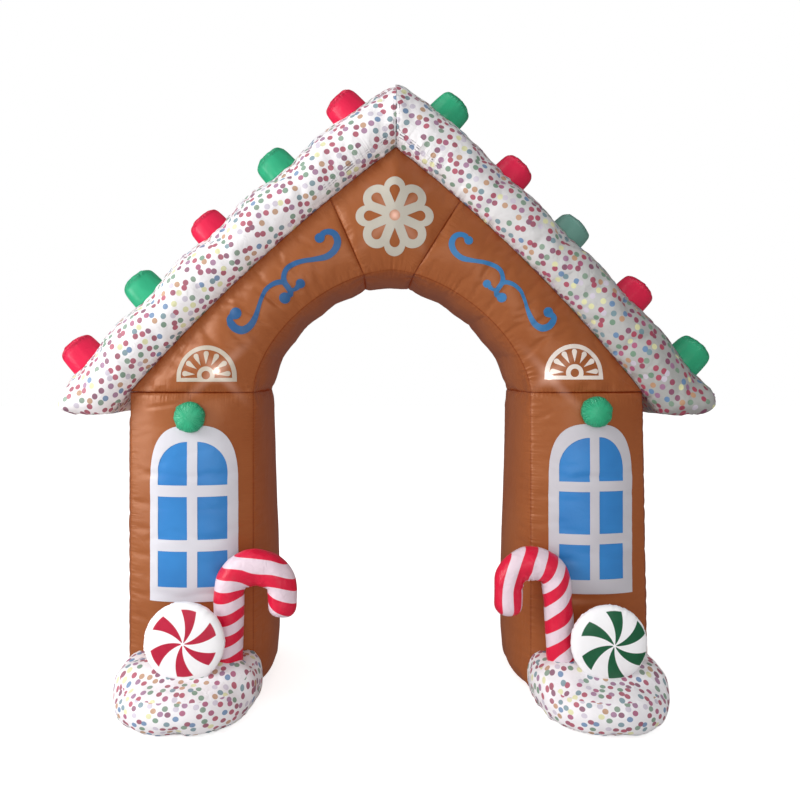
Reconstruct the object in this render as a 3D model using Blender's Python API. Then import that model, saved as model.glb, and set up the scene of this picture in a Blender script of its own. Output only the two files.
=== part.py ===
# An inflatable gingerbread-house archway that people walk through, in metres with +Z up.
# Air-filled wall chambers carry two dotted roof cushions, gumdrops, candy canes and appliques.
# In the arch's own frame X runs across, Y from front to back, and Z up from the ground.

import math

import bmesh
import bpy
from mathutils import Vector

# Walls
wall_depth = 0.70
springing_height = 1.535
opening_middle = 0.013
opening_half_width = 0.699
opening_rise = 0.617
opening_squareness = {"left": 1.7, "right": 1.63}
apex = Vector((0.032, 0.0, 2.772))
eaves = {"left": Vector((-1.305, 0.0, 1.54)), "right": Vector((1.272, 0.0, 1.54))}
gable_bow = {"left": 0.047, "right": 0.053}
key_seam_angle = {"left": 75.0, "right": 77.0}
key_seam_share = {"left": 0.769, "right": 0.759}
front_crown_share = 0.15
inner_crown = 0.03
leg_inner_crown = 0.07
outer_crown = 0.05
leg_splay = {"left": 0.0, "right": 0.026}

# Roof cushions
roof_height = 0.292
roof_mitre_start = 0.80
roof_ridge_pinch = 0.15
roof_sag = {"left": 0.005, "right": 0.024}
roof_end_share = -0.085
roof_scallop = 0.012

# Gumdrops
gumdrop_radius = 0.098
gumdrop_height = 0.131
gumdrop_forward = -0.22
wall_gumdrop_radius = 0.072
wall_gumdrop_height = 0.090
wall_gumdrops = {"left": {"x": -0.978, "z": 1.418}, "right": {"x": 1.008, "z": 1.4435}}

# Feet
mound_middle_y = -0.38
mound_front = 0.44
mound_back = 0.06
mound_squareness = 2.5
cane_radius = {"left": 0.0725, "right": 0.070}
cane_y = -0.485
cane_foot_height = 0.17
mint_y = -0.615
mint_half_thickness = 0.046

# Cloth
touch_gap = 0.0004
glass_thickness = 0.001
sheet_thickness = 0.0012

# Facets
front_steps = 6
side_steps = 4

side_sign = {"left": -1, "right": 1}

# The whole arch stands centred on the part's own origin.
arch_offset = Vector((0.015, 0.176, 0.0))

# Colours are linear RGB.
colours = {
    "gingerbread": (0.315, 0.098, 0.036),
    "dotted_white": (0.800, 0.780, 0.820),
    "candy_red": (0.745, 0.008, 0.045),
    "candy_green": (0.030, 0.340, 0.140),
    "teal_green": (0.060, 0.260, 0.190),
    "cane_red": (0.760, 0.090, 0.140),
    "window_blue": (0.042, 0.236, 0.600),
    "window_white": (0.640, 0.610, 0.640),
    "scroll_blue": (0.025, 0.130, 0.330),
    "icing_white": (0.560, 0.580, 0.530),
}
cloth_roughness = 0.45


def remove_everything():
    for thing in list(bpy.data.objects):
        bpy.data.objects.remove(thing, do_unlink=True)


def cloth(name):
    found = bpy.data.materials.get(name)
    if found:
        return found
    material = bpy.data.materials.new(name)
    material.use_nodes = True
    shader = material.node_tree.nodes["Principled BSDF"]
    shader.inputs["Base Color"].default_value = (*colours[name], 1.0)
    shader.inputs["Roughness"].default_value = cloth_roughness
    shader.inputs["Metallic"].default_value = 0.0
    material.diffuse_color = (*colours[name], 1.0)
    return material


# ---- building helpers


def close_end(shape, row, tip):
    if tip is None:
        shape.faces.new(row)
        return
    point = shape.verts.new(tip)
    for index, corner in enumerate(row):
        shape.faces.new((corner, row[(index + 1) % len(row)], point))


def two_triangles(shape, corners):
    # Every four-sided patch is split along the same diagonal, so cloth lies true on what is under it.
    shape.faces.new((corners[0], corners[1], corners[2]))
    shape.faces.new((corners[0], corners[2], corners[3]))


def loft(rings, start_tip=None, end_tip=None):
    # One closed skin over rings of points, each end flat or drawn to a tip.
    shape = bmesh.new()
    rows = [[shape.verts.new(point) for point in ring] for ring in rings]
    for lower, upper in zip(rows, rows[1:]):
        for index in range(len(lower)):
            after = (index + 1) % len(lower)
            two_triangles(shape, (lower[index], lower[after], upper[after], upper[index]))
    close_end(shape, rows[0], start_tip)
    close_end(shape, rows[-1], end_tip)
    bmesh.ops.recalc_face_normals(shape, faces=shape.faces)
    return shape


def flat_prism(loops, near_y, far_y):
    # A plate between two Y planes, with an outline and any holes given as (x, z) loops.
    shape = bmesh.new()
    edges = []
    for loop in loops:
        corners = [shape.verts.new((x, near_y, z)) for x, z in loop]
        for index, corner in enumerate(corners):
            edges.append(shape.edges.new((corner, corners[(index + 1) % len(corners)])))
    bmesh.ops.triangle_fill(shape, use_beauty=True, use_dissolve=False, edges=edges)
    grown = bmesh.ops.extrude_face_region(shape, geom=shape.faces[:])
    moved = [item for item in grown["geom"] if isinstance(item, bmesh.types.BMVert)]
    bmesh.ops.translate(shape, verts=moved, vec=(0, far_y - near_y, 0))
    bmesh.ops.recalc_face_normals(shape, faces=shape.faces)
    return shape


def add_object(name, shape, material, origin=Vector((0, 0, 0))):
    # The shape is modelled in the arch's frame, and the object's own origin is moved to a useful point.
    bmesh.ops.translate(shape, verts=shape.verts, vec=-origin)
    mesh = bpy.data.meshes.new(name)
    shape.to_mesh(mesh)
    shape.free()
    mesh.shade_smooth()
    mesh.set_sharp_from_angle(angle=math.radians(42))
    mesh.materials.append(cloth(material))
    piece = bpy.data.objects.new(name, mesh)
    bpy.context.scene.collection.objects.link(piece)
    piece.parent = arch
    piece.location = origin
    return piece


def as_guide(piece):
    piece.hide_render = True
    piece.display_type = "WIRE"
    return piece


def cut(piece, guide, operation="DIFFERENCE"):
    change = piece.modifiers.new(operation.lower() + "_" + guide.name, "BOOLEAN")
    change.operation = operation
    change.solver = "EXACT"
    change.object = guide


def grown_guide(piece):
    # A hidden copy, a touch gap larger all round, that shapes the seat of what is sewn to the piece.
    shape = bmesh.new()
    shape.from_mesh(piece.data)
    shape.normal_update()
    moves = [(point, point.normal * touch_gap * point.calc_shell_factor()) for point in shape.verts]
    for point, move in moves:
        point.co += move
    bmesh.ops.translate(shape, verts=shape.verts, vec=piece.location)
    return as_guide(add_object("seat_of_" + piece.name, shape, "gingerbread"))


def round_loop(centre_x, centre_z, radius, steps):
    turns = [2 * math.pi * step / steps for step in range(steps)]
    return [(centre_x + radius * math.cos(turn), centre_z + radius * math.sin(turn)) for turn in turns]


# ---- walls


def gable_normal(side):
    along = (apex - eaves[side]).normalized()
    return Vector((-along.z, 0, along.x)) * (1 if along.x > 0 else -1)


def gable_point(side, share):
    # On the wall's bowed top edge: share 0 is the eave and 1 the apex.
    bow = 4 * share * (1 - share) * gable_bow[side]
    return eaves[side].lerp(apex, share) + gable_normal(side) * bow


def opening_point(side, angle):
    # On the opening's seam: 0 degrees at the springing and 90 at the top.
    power = 2 / opening_squareness[side]
    across = opening_half_width * max(math.cos(math.radians(angle)), 0) ** power
    rise = opening_rise * math.sin(math.radians(angle)) ** power
    return Vector((opening_middle + side_sign[side] * across, 0, springing_height + rise))


def bulge(part):
    # How far a panel between two seams stands out, as a share of its crown.
    return 1 - abs(2 * part - 1) ** 2.2


def panel_edge(start, end, outward, crown, steps):
    points = []
    for step in range(steps):
        part = step / steps
        points.append(start.lerp(end, part) + outward * crown * bulge(part))
    return points


def wall_ring(inner, outer, front, side_out, side_in):
    # One cross-section of a wall chamber: front panel, outer side, back panel and inner side.
    across = (outer - inner).normalized()
    forward = Vector((0, -1, 0))
    half = Vector((0, wall_depth / 2, 0))
    ring = panel_edge(inner - half, outer - half, forward, front, front_steps)
    ring += panel_edge(outer - half, outer + half, across, side_out, side_steps)
    ring += panel_edge(outer + half, inner + half, -forward, front, front_steps)
    ring += panel_edge(inner + half, inner - half, -across, side_in, side_steps)
    return ring


# Height above the ground, how far the edge is rounded in, and the shares of the three crowns.
leg_rows = (
    {"height": 0.000, "inset": 0.045, "front": 0.45, "outer": 0.40, "inner": 0.35},
    {"height": 0.018, "inset": 0.015, "front": 0.62, "outer": 0.60, "inner": 0.55},
    {"height": 0.060, "inset": 0.000, "front": 0.82, "outer": 0.85, "inner": 0.80},
    {"height": 0.200, "inset": 0.000, "front": 0.96, "outer": 1.00, "inner": 0.97},
    {"height": 0.500, "inset": 0.000, "front": 1.00, "outer": 1.00, "inner": 1.00},
    {"height": 0.850, "inset": 0.000, "front": 1.00, "outer": 1.00, "inner": 0.78},
    {"height": 1.150, "inset": 0.000, "front": 1.00, "outer": 1.00, "inner": 0.58},
    {"height": 1.340, "inset": 0.000, "front": 0.96, "outer": 0.95, "inner": 0.46},
    {"height": 1.440, "inset": 0.000, "front": 0.89, "outer": 0.60, "inner": 0.40},
    {"height": 1.500, "inset": 0.000, "front": 0.80, "outer": 0.20, "inner": 0.34},
    {"height": springing_height - touch_gap / 2, "inset": 0.000, "front": 0.70, "outer": 0.00, "inner": 0.30},
)


def leg_rings(side):
    rings = []
    inner_x = opening_point(side, 0).x
    outer_x = eaves[side].x
    crown = front_crown_share * abs(outer_x - inner_x)
    for row in leg_rows:
        inset = row["inset"] * side_sign[side]
        inner = Vector((inner_x + inset, 0, row["height"]))
        splay = side_sign[side] * leg_splay[side] * (1 - row["height"] / springing_height)
        outer = Vector((outer_x + splay - inset, 0, row["height"]))
        ring = wall_ring(
            inner, outer, crown * row["front"], outer_crown * row["outer"], leg_inner_crown * row["inner"]
        )
        depth_scale = 1 - row["inset"] / (wall_depth / 2)
        rings.append([Vector((point.x, point.y * depth_scale, point.z)) for point in ring])
    return rings


def arch_ring(side, angle, share, draw_in, shift=0.0):
    # A section of the wall over the opening, square to it, with a flat top where the roof lies.
    inner = opening_point(side, angle)
    outer = gable_point(side, share)
    across = (outer - inner).normalized()
    aside = Vector((across.z, 0, -across.x)) * shift
    crown = front_crown_share * (outer - inner).length
    return wall_ring(inner + aside, outer + aside, crown * draw_in, 0.0, inner_crown * draw_in)


def seam_draw_in(part):
    # Panels are drawn in where two chambers meet, and full between the seams.
    return 0.70 + 0.30 * bulge(part) ** 0.6


def shoulder_rings(side, sections=8):
    rings = []
    for section in range(sections + 1):
        part = section / sections
        end = 1 if section == 0 else -1 if section == sections else 0
        rings.append(
            arch_ring(
                side,
                key_seam_angle[side] * part,
                key_seam_share[side] * part,
                seam_draw_in(part),
                -side_sign[side] * end * touch_gap / 2,
            )
        )
    return rings


def keystone_rings(half_sections=3):
    rings = []
    for side in ("left", "right"):
        half = []
        for section in range(half_sections):
            part = section / half_sections
            angle = key_seam_angle[side] + (90 - key_seam_angle[side]) * part
            share = key_seam_share[side] + (1 - key_seam_share[side]) * part
            end = 1 if section == 0 else 0
            shift = -side_sign[side] * end * touch_gap / 2
            half.append(arch_ring(side, angle, share, seam_draw_in(part / 2), shift))
        if side == "left":
            rings += half
            rings.append(arch_ring("left", 90, 1, seam_draw_in(0.5)))
        else:
            rings += reversed(half)
    return rings


def skin_guide(name, rings, near, far):
    # The space just in front of a chamber's front panel, which shapes the cloth that lies on it.
    grid = [ring[: front_steps + 1] for ring in rings]
    shape = bmesh.new()
    layers = []
    for offset in (near, far):
        move = Vector((0, -offset, 0))
        layers.append([[shape.verts.new(point + move) for point in row] for row in grid])
    back, front = layers
    last_row = len(grid) - 1
    for row in range(last_row):
        for step in range(front_steps):
            for layer in layers:
                below = layer[row]
                above = layer[row + 1]
                two_triangles(shape, (below[step], below[step + 1], above[step + 1], above[step]))
        for step in (0, front_steps):
            shape.faces.new((back[row][step], back[row + 1][step], front[row + 1][step], front[row][step]))
    for row in (0, last_row):
        for step in range(front_steps):
            shape.faces.new((back[row][step], back[row][step + 1], front[row][step + 1], front[row][step]))
    bmesh.ops.recalc_face_normals(shape, faces=shape.faces)
    return as_guide(add_object(name, shape, "gingerbread"))


# ---- roof

# Half of the cushion's section, from its top centre round the front to the flat underside.
roof_section = (
    {"y": 0.000, "height": 0.292},
    {"y": 0.160, "height": 0.290},
    {"y": 0.280, "height": 0.281},
    {"y": 0.370, "height": 0.254},
    {"y": 0.435, "height": 0.206},
    {"y": 0.468, "height": 0.140},
    {"y": 0.462, "height": 0.082},
    {"y": 0.428, "height": 0.036},
    {"y": 0.388, "height": 0.011},
    {"y": 0.353, "height": 0.000},
    {"y": 0.000, "height": 0.000},
)

# The rounded eave ends: how far each row stands out, the heights of its lower and upper edge, its depth.
roof_end_rows = {
    "left": (
        {"out": 0.050, "low": 0.047, "high": 0.281, "depth": 0.995},
        {"out": 0.097, "low": 0.091, "high": 0.264, "depth": 0.980},
        {"out": 0.131, "low": 0.126, "high": 0.240, "depth": 0.945},
        {"out": 0.150, "low": 0.162, "high": 0.208, "depth": 0.860},
    ),
    "right": (
        {"out": 0.045, "low": 0.047, "high": 0.288, "depth": 0.995},
        {"out": 0.085, "low": 0.090, "high": 0.285, "depth": 0.980},
        {"out": 0.114, "low": 0.120, "high": 0.276, "depth": 0.950},
        {"out": 0.130, "low": 0.145, "high": 0.250, "depth": 0.880},
    ),
}

# Gumdrops sit in the valleys between the cushion's swellings: where the first one is, and their spacing.
gumdrop_rows = {
    "left": {"first": -0.080, "pitch": 0.468, "colours": ("red", "green", "red", "green", "red")},
    "right": {"first": -0.077, "pitch": 0.445, "colours": ("green", "red", "teal", "red", "green")},
}
gumdrop_materials = {"red": "candy_red", "green": "candy_green", "teal": "teal_green"}


def gable_length(side):
    return (apex - eaves[side]).length


def roof_swell(side, share):
    # The cushion swells between its gumdrops, and sags a little halfway up the slope.
    row = gumdrop_rows[side]
    waves = (share * gable_length(side) - row["first"]) / row["pitch"]
    sag = roof_sag[side] * math.sin(math.pi * max(share, 0))
    return -roof_scallop * math.cos(2 * math.pi * waves) - sag


def roof_ring_points(base, up, low, high, depth):
    front = []
    for spot in roof_section:
        height = low + (high - low) * spot["height"] / roof_height
        front.append(base + up * height + Vector((0, -spot["y"] * depth, 0)))
    back = [Vector((point.x, -point.y, point.z)) for point in front[1:-1]]
    return front + back[::-1]


def roof_rings(side, stations=20):
    rings = []
    normal = gable_normal(side)
    outward = (eaves[side] - apex).normalized()
    end_base = gable_point(side, roof_end_share) + normal * touch_gap
    for row in reversed(roof_end_rows[side]):
        base = end_base + outward * row["out"]
        rings.append(roof_ring_points(base, normal, row["low"], row["high"], row["depth"]))
    for station in range(stations + 1):
        share = roof_end_share + (1 - roof_end_share) * station / stations
        base = gable_point(side, share) + normal * touch_gap
        turned = max((share - roof_mitre_start) / (1 - roof_mitre_start), 0)
        tilt = turned * math.atan2(abs(normal.x), normal.z)
        up = Vector((math.sin(math.atan2(normal.x, normal.z) * (1 - turned)), 0, 0))
        up.z = math.sqrt(1 - up.x**2)
        if station == stations:
            base = apex + Vector((side_sign[side] * touch_gap / 2, 0, touch_gap * 1.5))
        swell = roof_swell(side, share) * (1 - turned)
        high = (roof_height + swell) / math.cos(tilt) * (1 - roof_ridge_pinch * turned**3)
        rings.append(roof_ring_points(base, up, 0.0, high, 1.0))
    return rings


# ---- gumdrops

# Height as a share of the whole, and radius as a share of the base's.
gumdrop_profile = (
    {"height": -0.28, "radius": 1.000},
    {"height": 0.00, "radius": 1.000},
    {"height": 0.38, "radius": 0.955},
    {"height": 0.72, "radius": 0.900},
    {"height": 0.87, "radius": 0.800},
    {"height": 0.96, "radius": 0.540},
)


def gumdrop(name, seat, axis, radius, height, material, seats, sides=14):
    rings = []
    for row in gumdrop_profile:
        loop = round_loop(0, 0, radius * row["radius"], sides)
        rings.append([Vector((x, y, row["height"] * height)) for x, y in loop])
    piece = add_object(name, loft(rings, end_tip=Vector((0, 0, height))), material)
    piece.location = seat
    piece.rotation_euler = axis.to_track_quat("Z", "Y").to_euler()
    for guide in seats:
        cut(piece, guide)
    return piece


def roof_gumdrops(side, seat_guide):
    row = gumdrop_rows[side]
    normal = gable_normal(side)
    for number, colour in enumerate(row["colours"]):
        share = (row["first"] + row["pitch"] * number) / gable_length(side)
        seat = gable_point(side, share) + normal * (roof_height + roof_swell(side, share))
        seat.y = gumdrop_forward
        gumdrop(
            f"roof_gumdrop_{side}_{number + 1}",
            seat,
            normal,
            gumdrop_radius,
            gumdrop_height,
            gumdrop_materials[colour],
            [seat_guide],
        )


# ---- feet

feet = {
    "left": {"middle": -0.978, "half_width": 0.343},
    "right": {"middle": 1.007, "half_width": 0.318},
}

# How far the skin lies in from the widest outline, and its height as a share of the full height there.
mound_rows = (
    {"scale": 0.80, "height": 0.00},
    {"scale": 0.90, "height": 0.05},
    {"scale": 0.975, "height": 0.24},
    {"scale": 1.00, "height": 0.52},
    {"scale": 0.97, "height": 0.78},
    {"scale": 0.88, "height": 0.93},
    {"scale": 0.76, "height": 1.00},
    {"scale": 0.63, "height": 1.00},
    {"scale": 0.48, "height": 1.00},
    {"scale": 0.30, "height": 1.00},
)


def mound_height(y):
    # Low at the front, where the mint stands, and full round the cane and at the leg.
    rise = min(max((y + 0.69) / 0.15, 0), 1)
    return 0.185 + 0.062 * rise**2 * (3 - 2 * rise)


def mound_rings(side, sides=28):
    foot = feet[side]
    rings = []
    power = 2 / mound_squareness
    for row in mound_rows:
        ring = []
        for step in range(sides):
            turn = 2 * math.pi * step / sides
            across = math.copysign(abs(math.cos(turn)) ** power, math.cos(turn))
            along = math.copysign(abs(math.sin(turn)) ** power, math.sin(turn))
            reach = mound_back if along > 0 else mound_front
            x = foot["middle"] + foot["half_width"] * across * row["scale"]
            y = mound_middle_y + reach * along * row["scale"]
            ring.append(Vector((x, y, row["height"] * mound_height(y))))
        rings.append(ring)
    return rings


# Where each cane stands, how it leans, and its hook, which turns towards the opening.
canes = {
    "left": {"foot": -0.787, "stem_top": -0.782, "hook_middle": -0.652, "turn_height": 0.576, "drop": 0.050},
    "right": {"foot": 0.834, "stem_top": 0.810, "hook_middle": 0.692, "turn_height": 0.602, "drop": 0.085},
}


def cane_path(side):
    cane = canes[side]
    reach = cane["stem_top"] - cane["hook_middle"]
    path = [Vector((cane["foot"], cane_y, cane_foot_height))]
    for part in (0.3, 0.6, 0.85):
        height = cane_foot_height + (cane["turn_height"] - cane_foot_height) * part
        path.append(Vector((cane["foot"] + (cane["stem_top"] - cane["foot"]) * part, cane_y, height)))
    for step in range(11):
        turn = math.pi * step / 10
        x = cane["hook_middle"] + reach * math.cos(turn)
        path.append(Vector((x, cane_y, cane["turn_height"] + abs(reach) * math.sin(turn))))
    path.append(Vector((cane["hook_middle"] - reach, cane_y, cane["turn_height"] - cane["drop"] / 2)))
    path.append(Vector((cane["hook_middle"] - reach, cane_y, cane["turn_height"] - cane["drop"])))
    return path


def tube_ring(centre, direction, radius, sides=12):
    sideways = Vector((0, 1, 0))
    outward = direction.cross(sideways)
    ring = []
    for step in range(sides):
        turn = 2 * math.pi * step / sides
        ring.append(centre + (sideways * math.cos(turn) + outward * math.sin(turn)) * radius)
    return ring


def cane_rings(side):
    path = cane_path(side)
    rings = []
    for index, centre in enumerate(path):
        before = path[max(index - 1, 0)]
        after = path[min(index + 1, len(path) - 1)]
        rings.append(tube_ring(centre, (after - before).normalized(), cane_radius[side]))
    down = Vector((0, 0, -1))
    for share in (0.45, 0.78, 0.95):
        centre = path[-1] + down * cane_radius[side] * share
        rings.append(tube_ring(centre, down, cane_radius[side] * math.sqrt(1 - share**2)))
    return rings, path[-1] + down * cane_radius[side]


mints = {
    "left": {"middle": -0.967, "height": 0.372, "radius": 0.189, "material": "candy_red"},
    "right": {"middle": 1.024, "height": 0.368, "radius": 0.178, "material": "candy_green"},
}

# A round box cushion: distance from its middle plane and radius, as shares.
mint_profile = (
    {"out": 0.98, "radius": 0.34},
    {"out": 0.88, "radius": 0.66},
    {"out": 0.70, "radius": 0.87},
    {"out": 0.40, "radius": 0.98},
    {"out": 0.00, "radius": 1.00},
)


def mint_rings(side, sides=28):
    mint = mints[side]
    rows = [(-row["out"], row["radius"]) for row in mint_profile]
    rows += [(row["out"], row["radius"]) for row in reversed(mint_profile[:-1])]
    rings = []
    for out, radius in rows:
        loop = round_loop(mint["middle"], mint["height"], mint["radius"] * radius, sides)
        rings.append([Vector((x, mint_y + out * mint_half_thickness, z)) for x, z in loop])
    return rings


# ---- appliques

# The middle of each window and of its panes, how far both reach out, and how it stands on its sill.
windows = {
    "left": {"middle": -0.969, "reach": 0.219, "panes": -0.979, "pane_reach": 0.175},
    "right": {"middle": 1.004, "reach": 0.205, "panes": 1.007, "pane_reach": 0.157},
}
windows["left"].update(sill=0.511, scale=1.0)
windows["right"].update(sill=0.547, scale=0.966)
window_height = 0.865
window_arch_start = 0.690
pane_inner = 0.025
pane_rows = (
    {"low": 0.068, "high": 0.246},
    {"low": 0.311, "high": 0.513},
    {"low": 0.572, "high": 0.784},
)
pane_arch_start = 0.640


def arched_loop(middle, low, half_width, arch_start, top, steps=12):
    # An upright shape with a half-oval head.
    loop = [(middle - half_width, low), (middle + half_width, low)]
    for step in range(steps + 1):
        turn = math.pi * step / steps
        across = math.copysign(abs(math.cos(turn)) ** 0.92, math.cos(turn))
        loop.append((middle + half_width * across, arch_start + (top - arch_start) * math.sin(turn) ** 0.92))
    return loop


def pane_loops(side):
    window = windows[side]
    middle = window["panes"]
    loops = []
    for hand in (-1, 1):
        near = middle + hand * pane_inner
        far = middle + hand * window["pane_reach"]
        for row in pane_rows[:2]:
            low = window["sill"] + row["low"] * window["scale"]
            high = window["sill"] + row["high"] * window["scale"]
            loops.append([(near, low), (far, low), (far, high), (near, high)])
        low = window["sill"] + pane_rows[2]["low"] * window["scale"]
        start = window["sill"] + pane_arch_start * window["scale"]
        top = window["sill"] + pane_rows[2]["high"] * window["scale"]
        loop = [(near, low), (far, low)]
        for step in range(6):
            turn = math.pi / 2 * step / 5
            loop.append((near + (far - near) * math.cos(turn), start + (top - start) * math.sin(turn)))
        loops.append(loop)
    return loops


def window_loop(side, margin=0.0):
    window = windows[side]
    sill = window["sill"]
    return arched_loop(
        window["middle"],
        sill - margin,
        window["reach"] + margin,
        sill + window_arch_start * window["scale"],
        sill + window_height * window["scale"] + margin,
    )


def glass_loop(side, lap=0.020):
    window = windows[side]
    sill = window["sill"]
    return arched_loop(
        window["panes"],
        sill + pane_rows[0]["low"] * window["scale"] - lap,
        window["pane_reach"] + lap,
        sill + pane_arch_start * window["scale"],
        sill + pane_rows[2]["high"] * window["scale"] + lap,
    )


fans = {
    "left": {"middle": -0.908, "base": 1.590, "radius": 0.152},
    "right": {"middle": 0.917, "base": 1.601, "radius": 0.148},
}
fan_band = 0.022
fan_centre = 0.028
fan_bar = 0.019
hub_height = 0.033
hub_radius = 0.043
hub_hole = 0.021
petal_angles = (4, 33, 61, 90, 119, 147, 176)


def fan_loops(side):
    middle = fans[side]["middle"]
    base = fans[side]["base"]
    fan_radius = fans[side]["radius"]
    outer = [(middle - fan_radius, base), (middle + fan_radius, base)]
    inner = []
    inside = fan_radius - fan_band
    steps = 14
    for step in range(steps + 1):
        turn = math.pi * step / steps
        outer.append((middle + fan_radius * math.cos(turn), base + fan_centre + fan_radius * math.sin(turn)))
        inner.append((middle + inside * math.cos(turn), base + fan_centre + inside * math.sin(turn)))
    inner.append((middle - inside, base + fan_bar))
    start = math.pi + math.asin((hub_height - fan_bar) / hub_radius)
    sweep = 2 * start - math.pi
    for step in range(9):
        turn = start - sweep * step / 8
        inner.append((middle + hub_radius * math.cos(turn), base + hub_height + hub_radius * math.sin(turn)))
    inner.append((middle + inside, base + fan_bar))
    return [outer, inner, round_loop(middle, base + hub_height, hub_hole, 12)]


# A teardrop: distance from the pattern's centre and half width, as shares of its reach and fullest width.
teardrop_rows = (
    {"reach": 0.00, "half": 0.00},
    {"reach": 0.35, "half": 0.62},
    {"reach": 0.72, "half": 1.00},
    {"reach": 0.93, "half": 0.66},
)


def teardrop_loop(middle, height, angle, near, far, half_width):
    turn = math.radians(angle)
    along = (math.cos(turn), math.sin(turn))
    spots = [(row["reach"], row["half"]) for row in teardrop_rows]
    spots.append((1.0, 0.0))
    spots += [(row["reach"], -row["half"]) for row in reversed(teardrop_rows[1:])]
    loop = []
    for reach, half in spots:
        out = near + (far - near) * reach
        aside = half * half_width
        loop.append((middle + out * along[0] - aside * along[1], height + out * along[1] + aside * along[0]))
    return loop


rosette_centre = (0.022, 2.411)
rosette_hole = 0.027
rosette_radius = 0.198
rosette_notch = 0.162


def rosette_loops(lobes=8, steps_per_lobe=6):
    loop = []
    middle, height = rosette_centre
    for step in range(lobes * steps_per_lobe):
        turn = 2 * math.pi * step / (lobes * steps_per_lobe)
        swing = abs(math.cos(lobes * turn / 2)) ** 0.7
        radius = rosette_notch + (rosette_radius - rosette_notch) * swing
        loop.append((middle + radius * math.cos(turn), height + radius * math.sin(turn)))
    loops = [loop, round_loop(middle, height, rosette_hole, 12)]
    for lobe in range(lobes):
        loops.append(teardrop_loop(middle, height, 360 * lobe / lobes, 0.066, 0.154, 0.024))
    return loops


# Scrolls in millimetres from where their strokes meet: centre line and half width. A ball ends each curl.
long_stroke = (
    {"x": 178, "z": 218, "half": 23},
    {"x": 198, "z": 243, "half": 14},
    {"x": 226, "z": 249, "half": 14},
    {"x": 253, "z": 236, "half": 15},
    {"x": 267, "z": 206, "half": 16},
    {"x": 263, "z": 176, "half": 16},
    {"x": 243, "z": 146, "half": 15},
    {"x": 208, "z": 123, "half": 14},
    {"x": 150, "z": 111, "half": 11},
    {"x": 92, "z": 102, "half": 11},
    {"x": 44, "z": 86, "half": 12},
    {"x": 13, "z": 62, "half": 12},
    {"x": 0, "z": 28, "half": 12},
    {"x": 4, "z": -4, "half": 13},
    {"x": 22, "z": -30, "half": 13},
    {"x": 33, "z": -58, "half": 13},
    {"x": 4, "z": -80, "half": 25},
)
low_stroke = (
    {"x": -239, "z": -157, "half": 27},
    {"x": -268, "z": -186, "half": 18},
    {"x": -246, "z": -226, "half": 18},
    {"x": -208, "z": -241, "half": 18},
    {"x": -176, "z": -227, "half": 16},
    {"x": -152, "z": -198, "half": 14},
    {"x": -134, "z": -156, "half": 11},
    {"x": -122, "z": -118, "half": 9},
    {"x": -110, "z": -82, "half": 9},
    {"x": -92, "z": -44, "half": 10},
    {"x": -58, "z": -14, "half": 11},
    {"x": -20, "z": -1, "half": 12},
    {"x": 4, "z": -4, "half": 12},
)
short_stroke = (
    {"x": 26, "z": -42, "half": 10},
    {"x": 56, "z": -35, "half": 9},
    {"x": 82, "z": -8, "half": 21},
)
scroll_joints = {
    "left": {"x": -0.526, "z": 2.086, "scale": 1.0},
    "right": {"x": 0.561, "z": 2.084, "scale": 0.95},
}


def stroke_loop(stroke, side):
    # The outline of a stroke whose half width changes, with round ends.
    joint = scroll_joints[side]
    size = joint["scale"] / 1000
    hand = -side_sign[side]
    spots = [Vector((joint["x"] + hand * row["x"] * size, joint["z"] + row["z"] * size)) for row in stroke]
    halves = [row["half"] * size for row in stroke]
    one_side = []
    other_side = []
    last = len(spots) - 1
    for index in range(1, last):
        along = (spots[index + 1] - spots[index - 1]).normalized()
        aside = Vector((-along.y, along.x)) * halves[index]
        one_side.append(spots[index] + aside)
        other_side.append(spots[index] - aside)
    start_ball = ball_end(spots[0], spots[1], halves[0])
    end_ball = ball_end(spots[last], spots[last - 1], halves[last])
    loop = one_side + end_ball[::-1] + other_side[::-1] + start_ball[::-1]
    return [(point.x, point.y) for point in loop]


def ball_end(centre, neighbour, radius, steps=8):
    # Points round a ball, from one side of its neck to the other, leaving the neck open.
    towards = math.atan2(neighbour.y - centre.y, neighbour.x - centre.x)
    opening = math.radians(48)
    points = []
    for step in range(steps + 1):
        turn = towards + opening + (2 * math.pi - 2 * opening) * step / steps
        points.append(centre + Vector((math.cos(turn), math.sin(turn))) * radius)
    return points


def applique(name, loops, material, skin):
    piece = add_object(name, flat_prism(loops, -0.60, -0.30), material)
    cut(piece, skin, "INTERSECT")
    return piece


# ---- the whole arch

remove_everything()
arch = bpy.data.objects.new("arch", None)
bpy.context.scene.collection.objects.link(arch)
arch.location = arch_offset

keystone = add_object("keystone", loft(keystone_rings()), "gingerbread", apex.copy())
keystone_skin = skin_guide("keystone_skin", keystone_rings(), touch_gap, touch_gap + sheet_thickness)
applique("rosette", rosette_loops(), "icing_white", keystone_skin)

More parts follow.
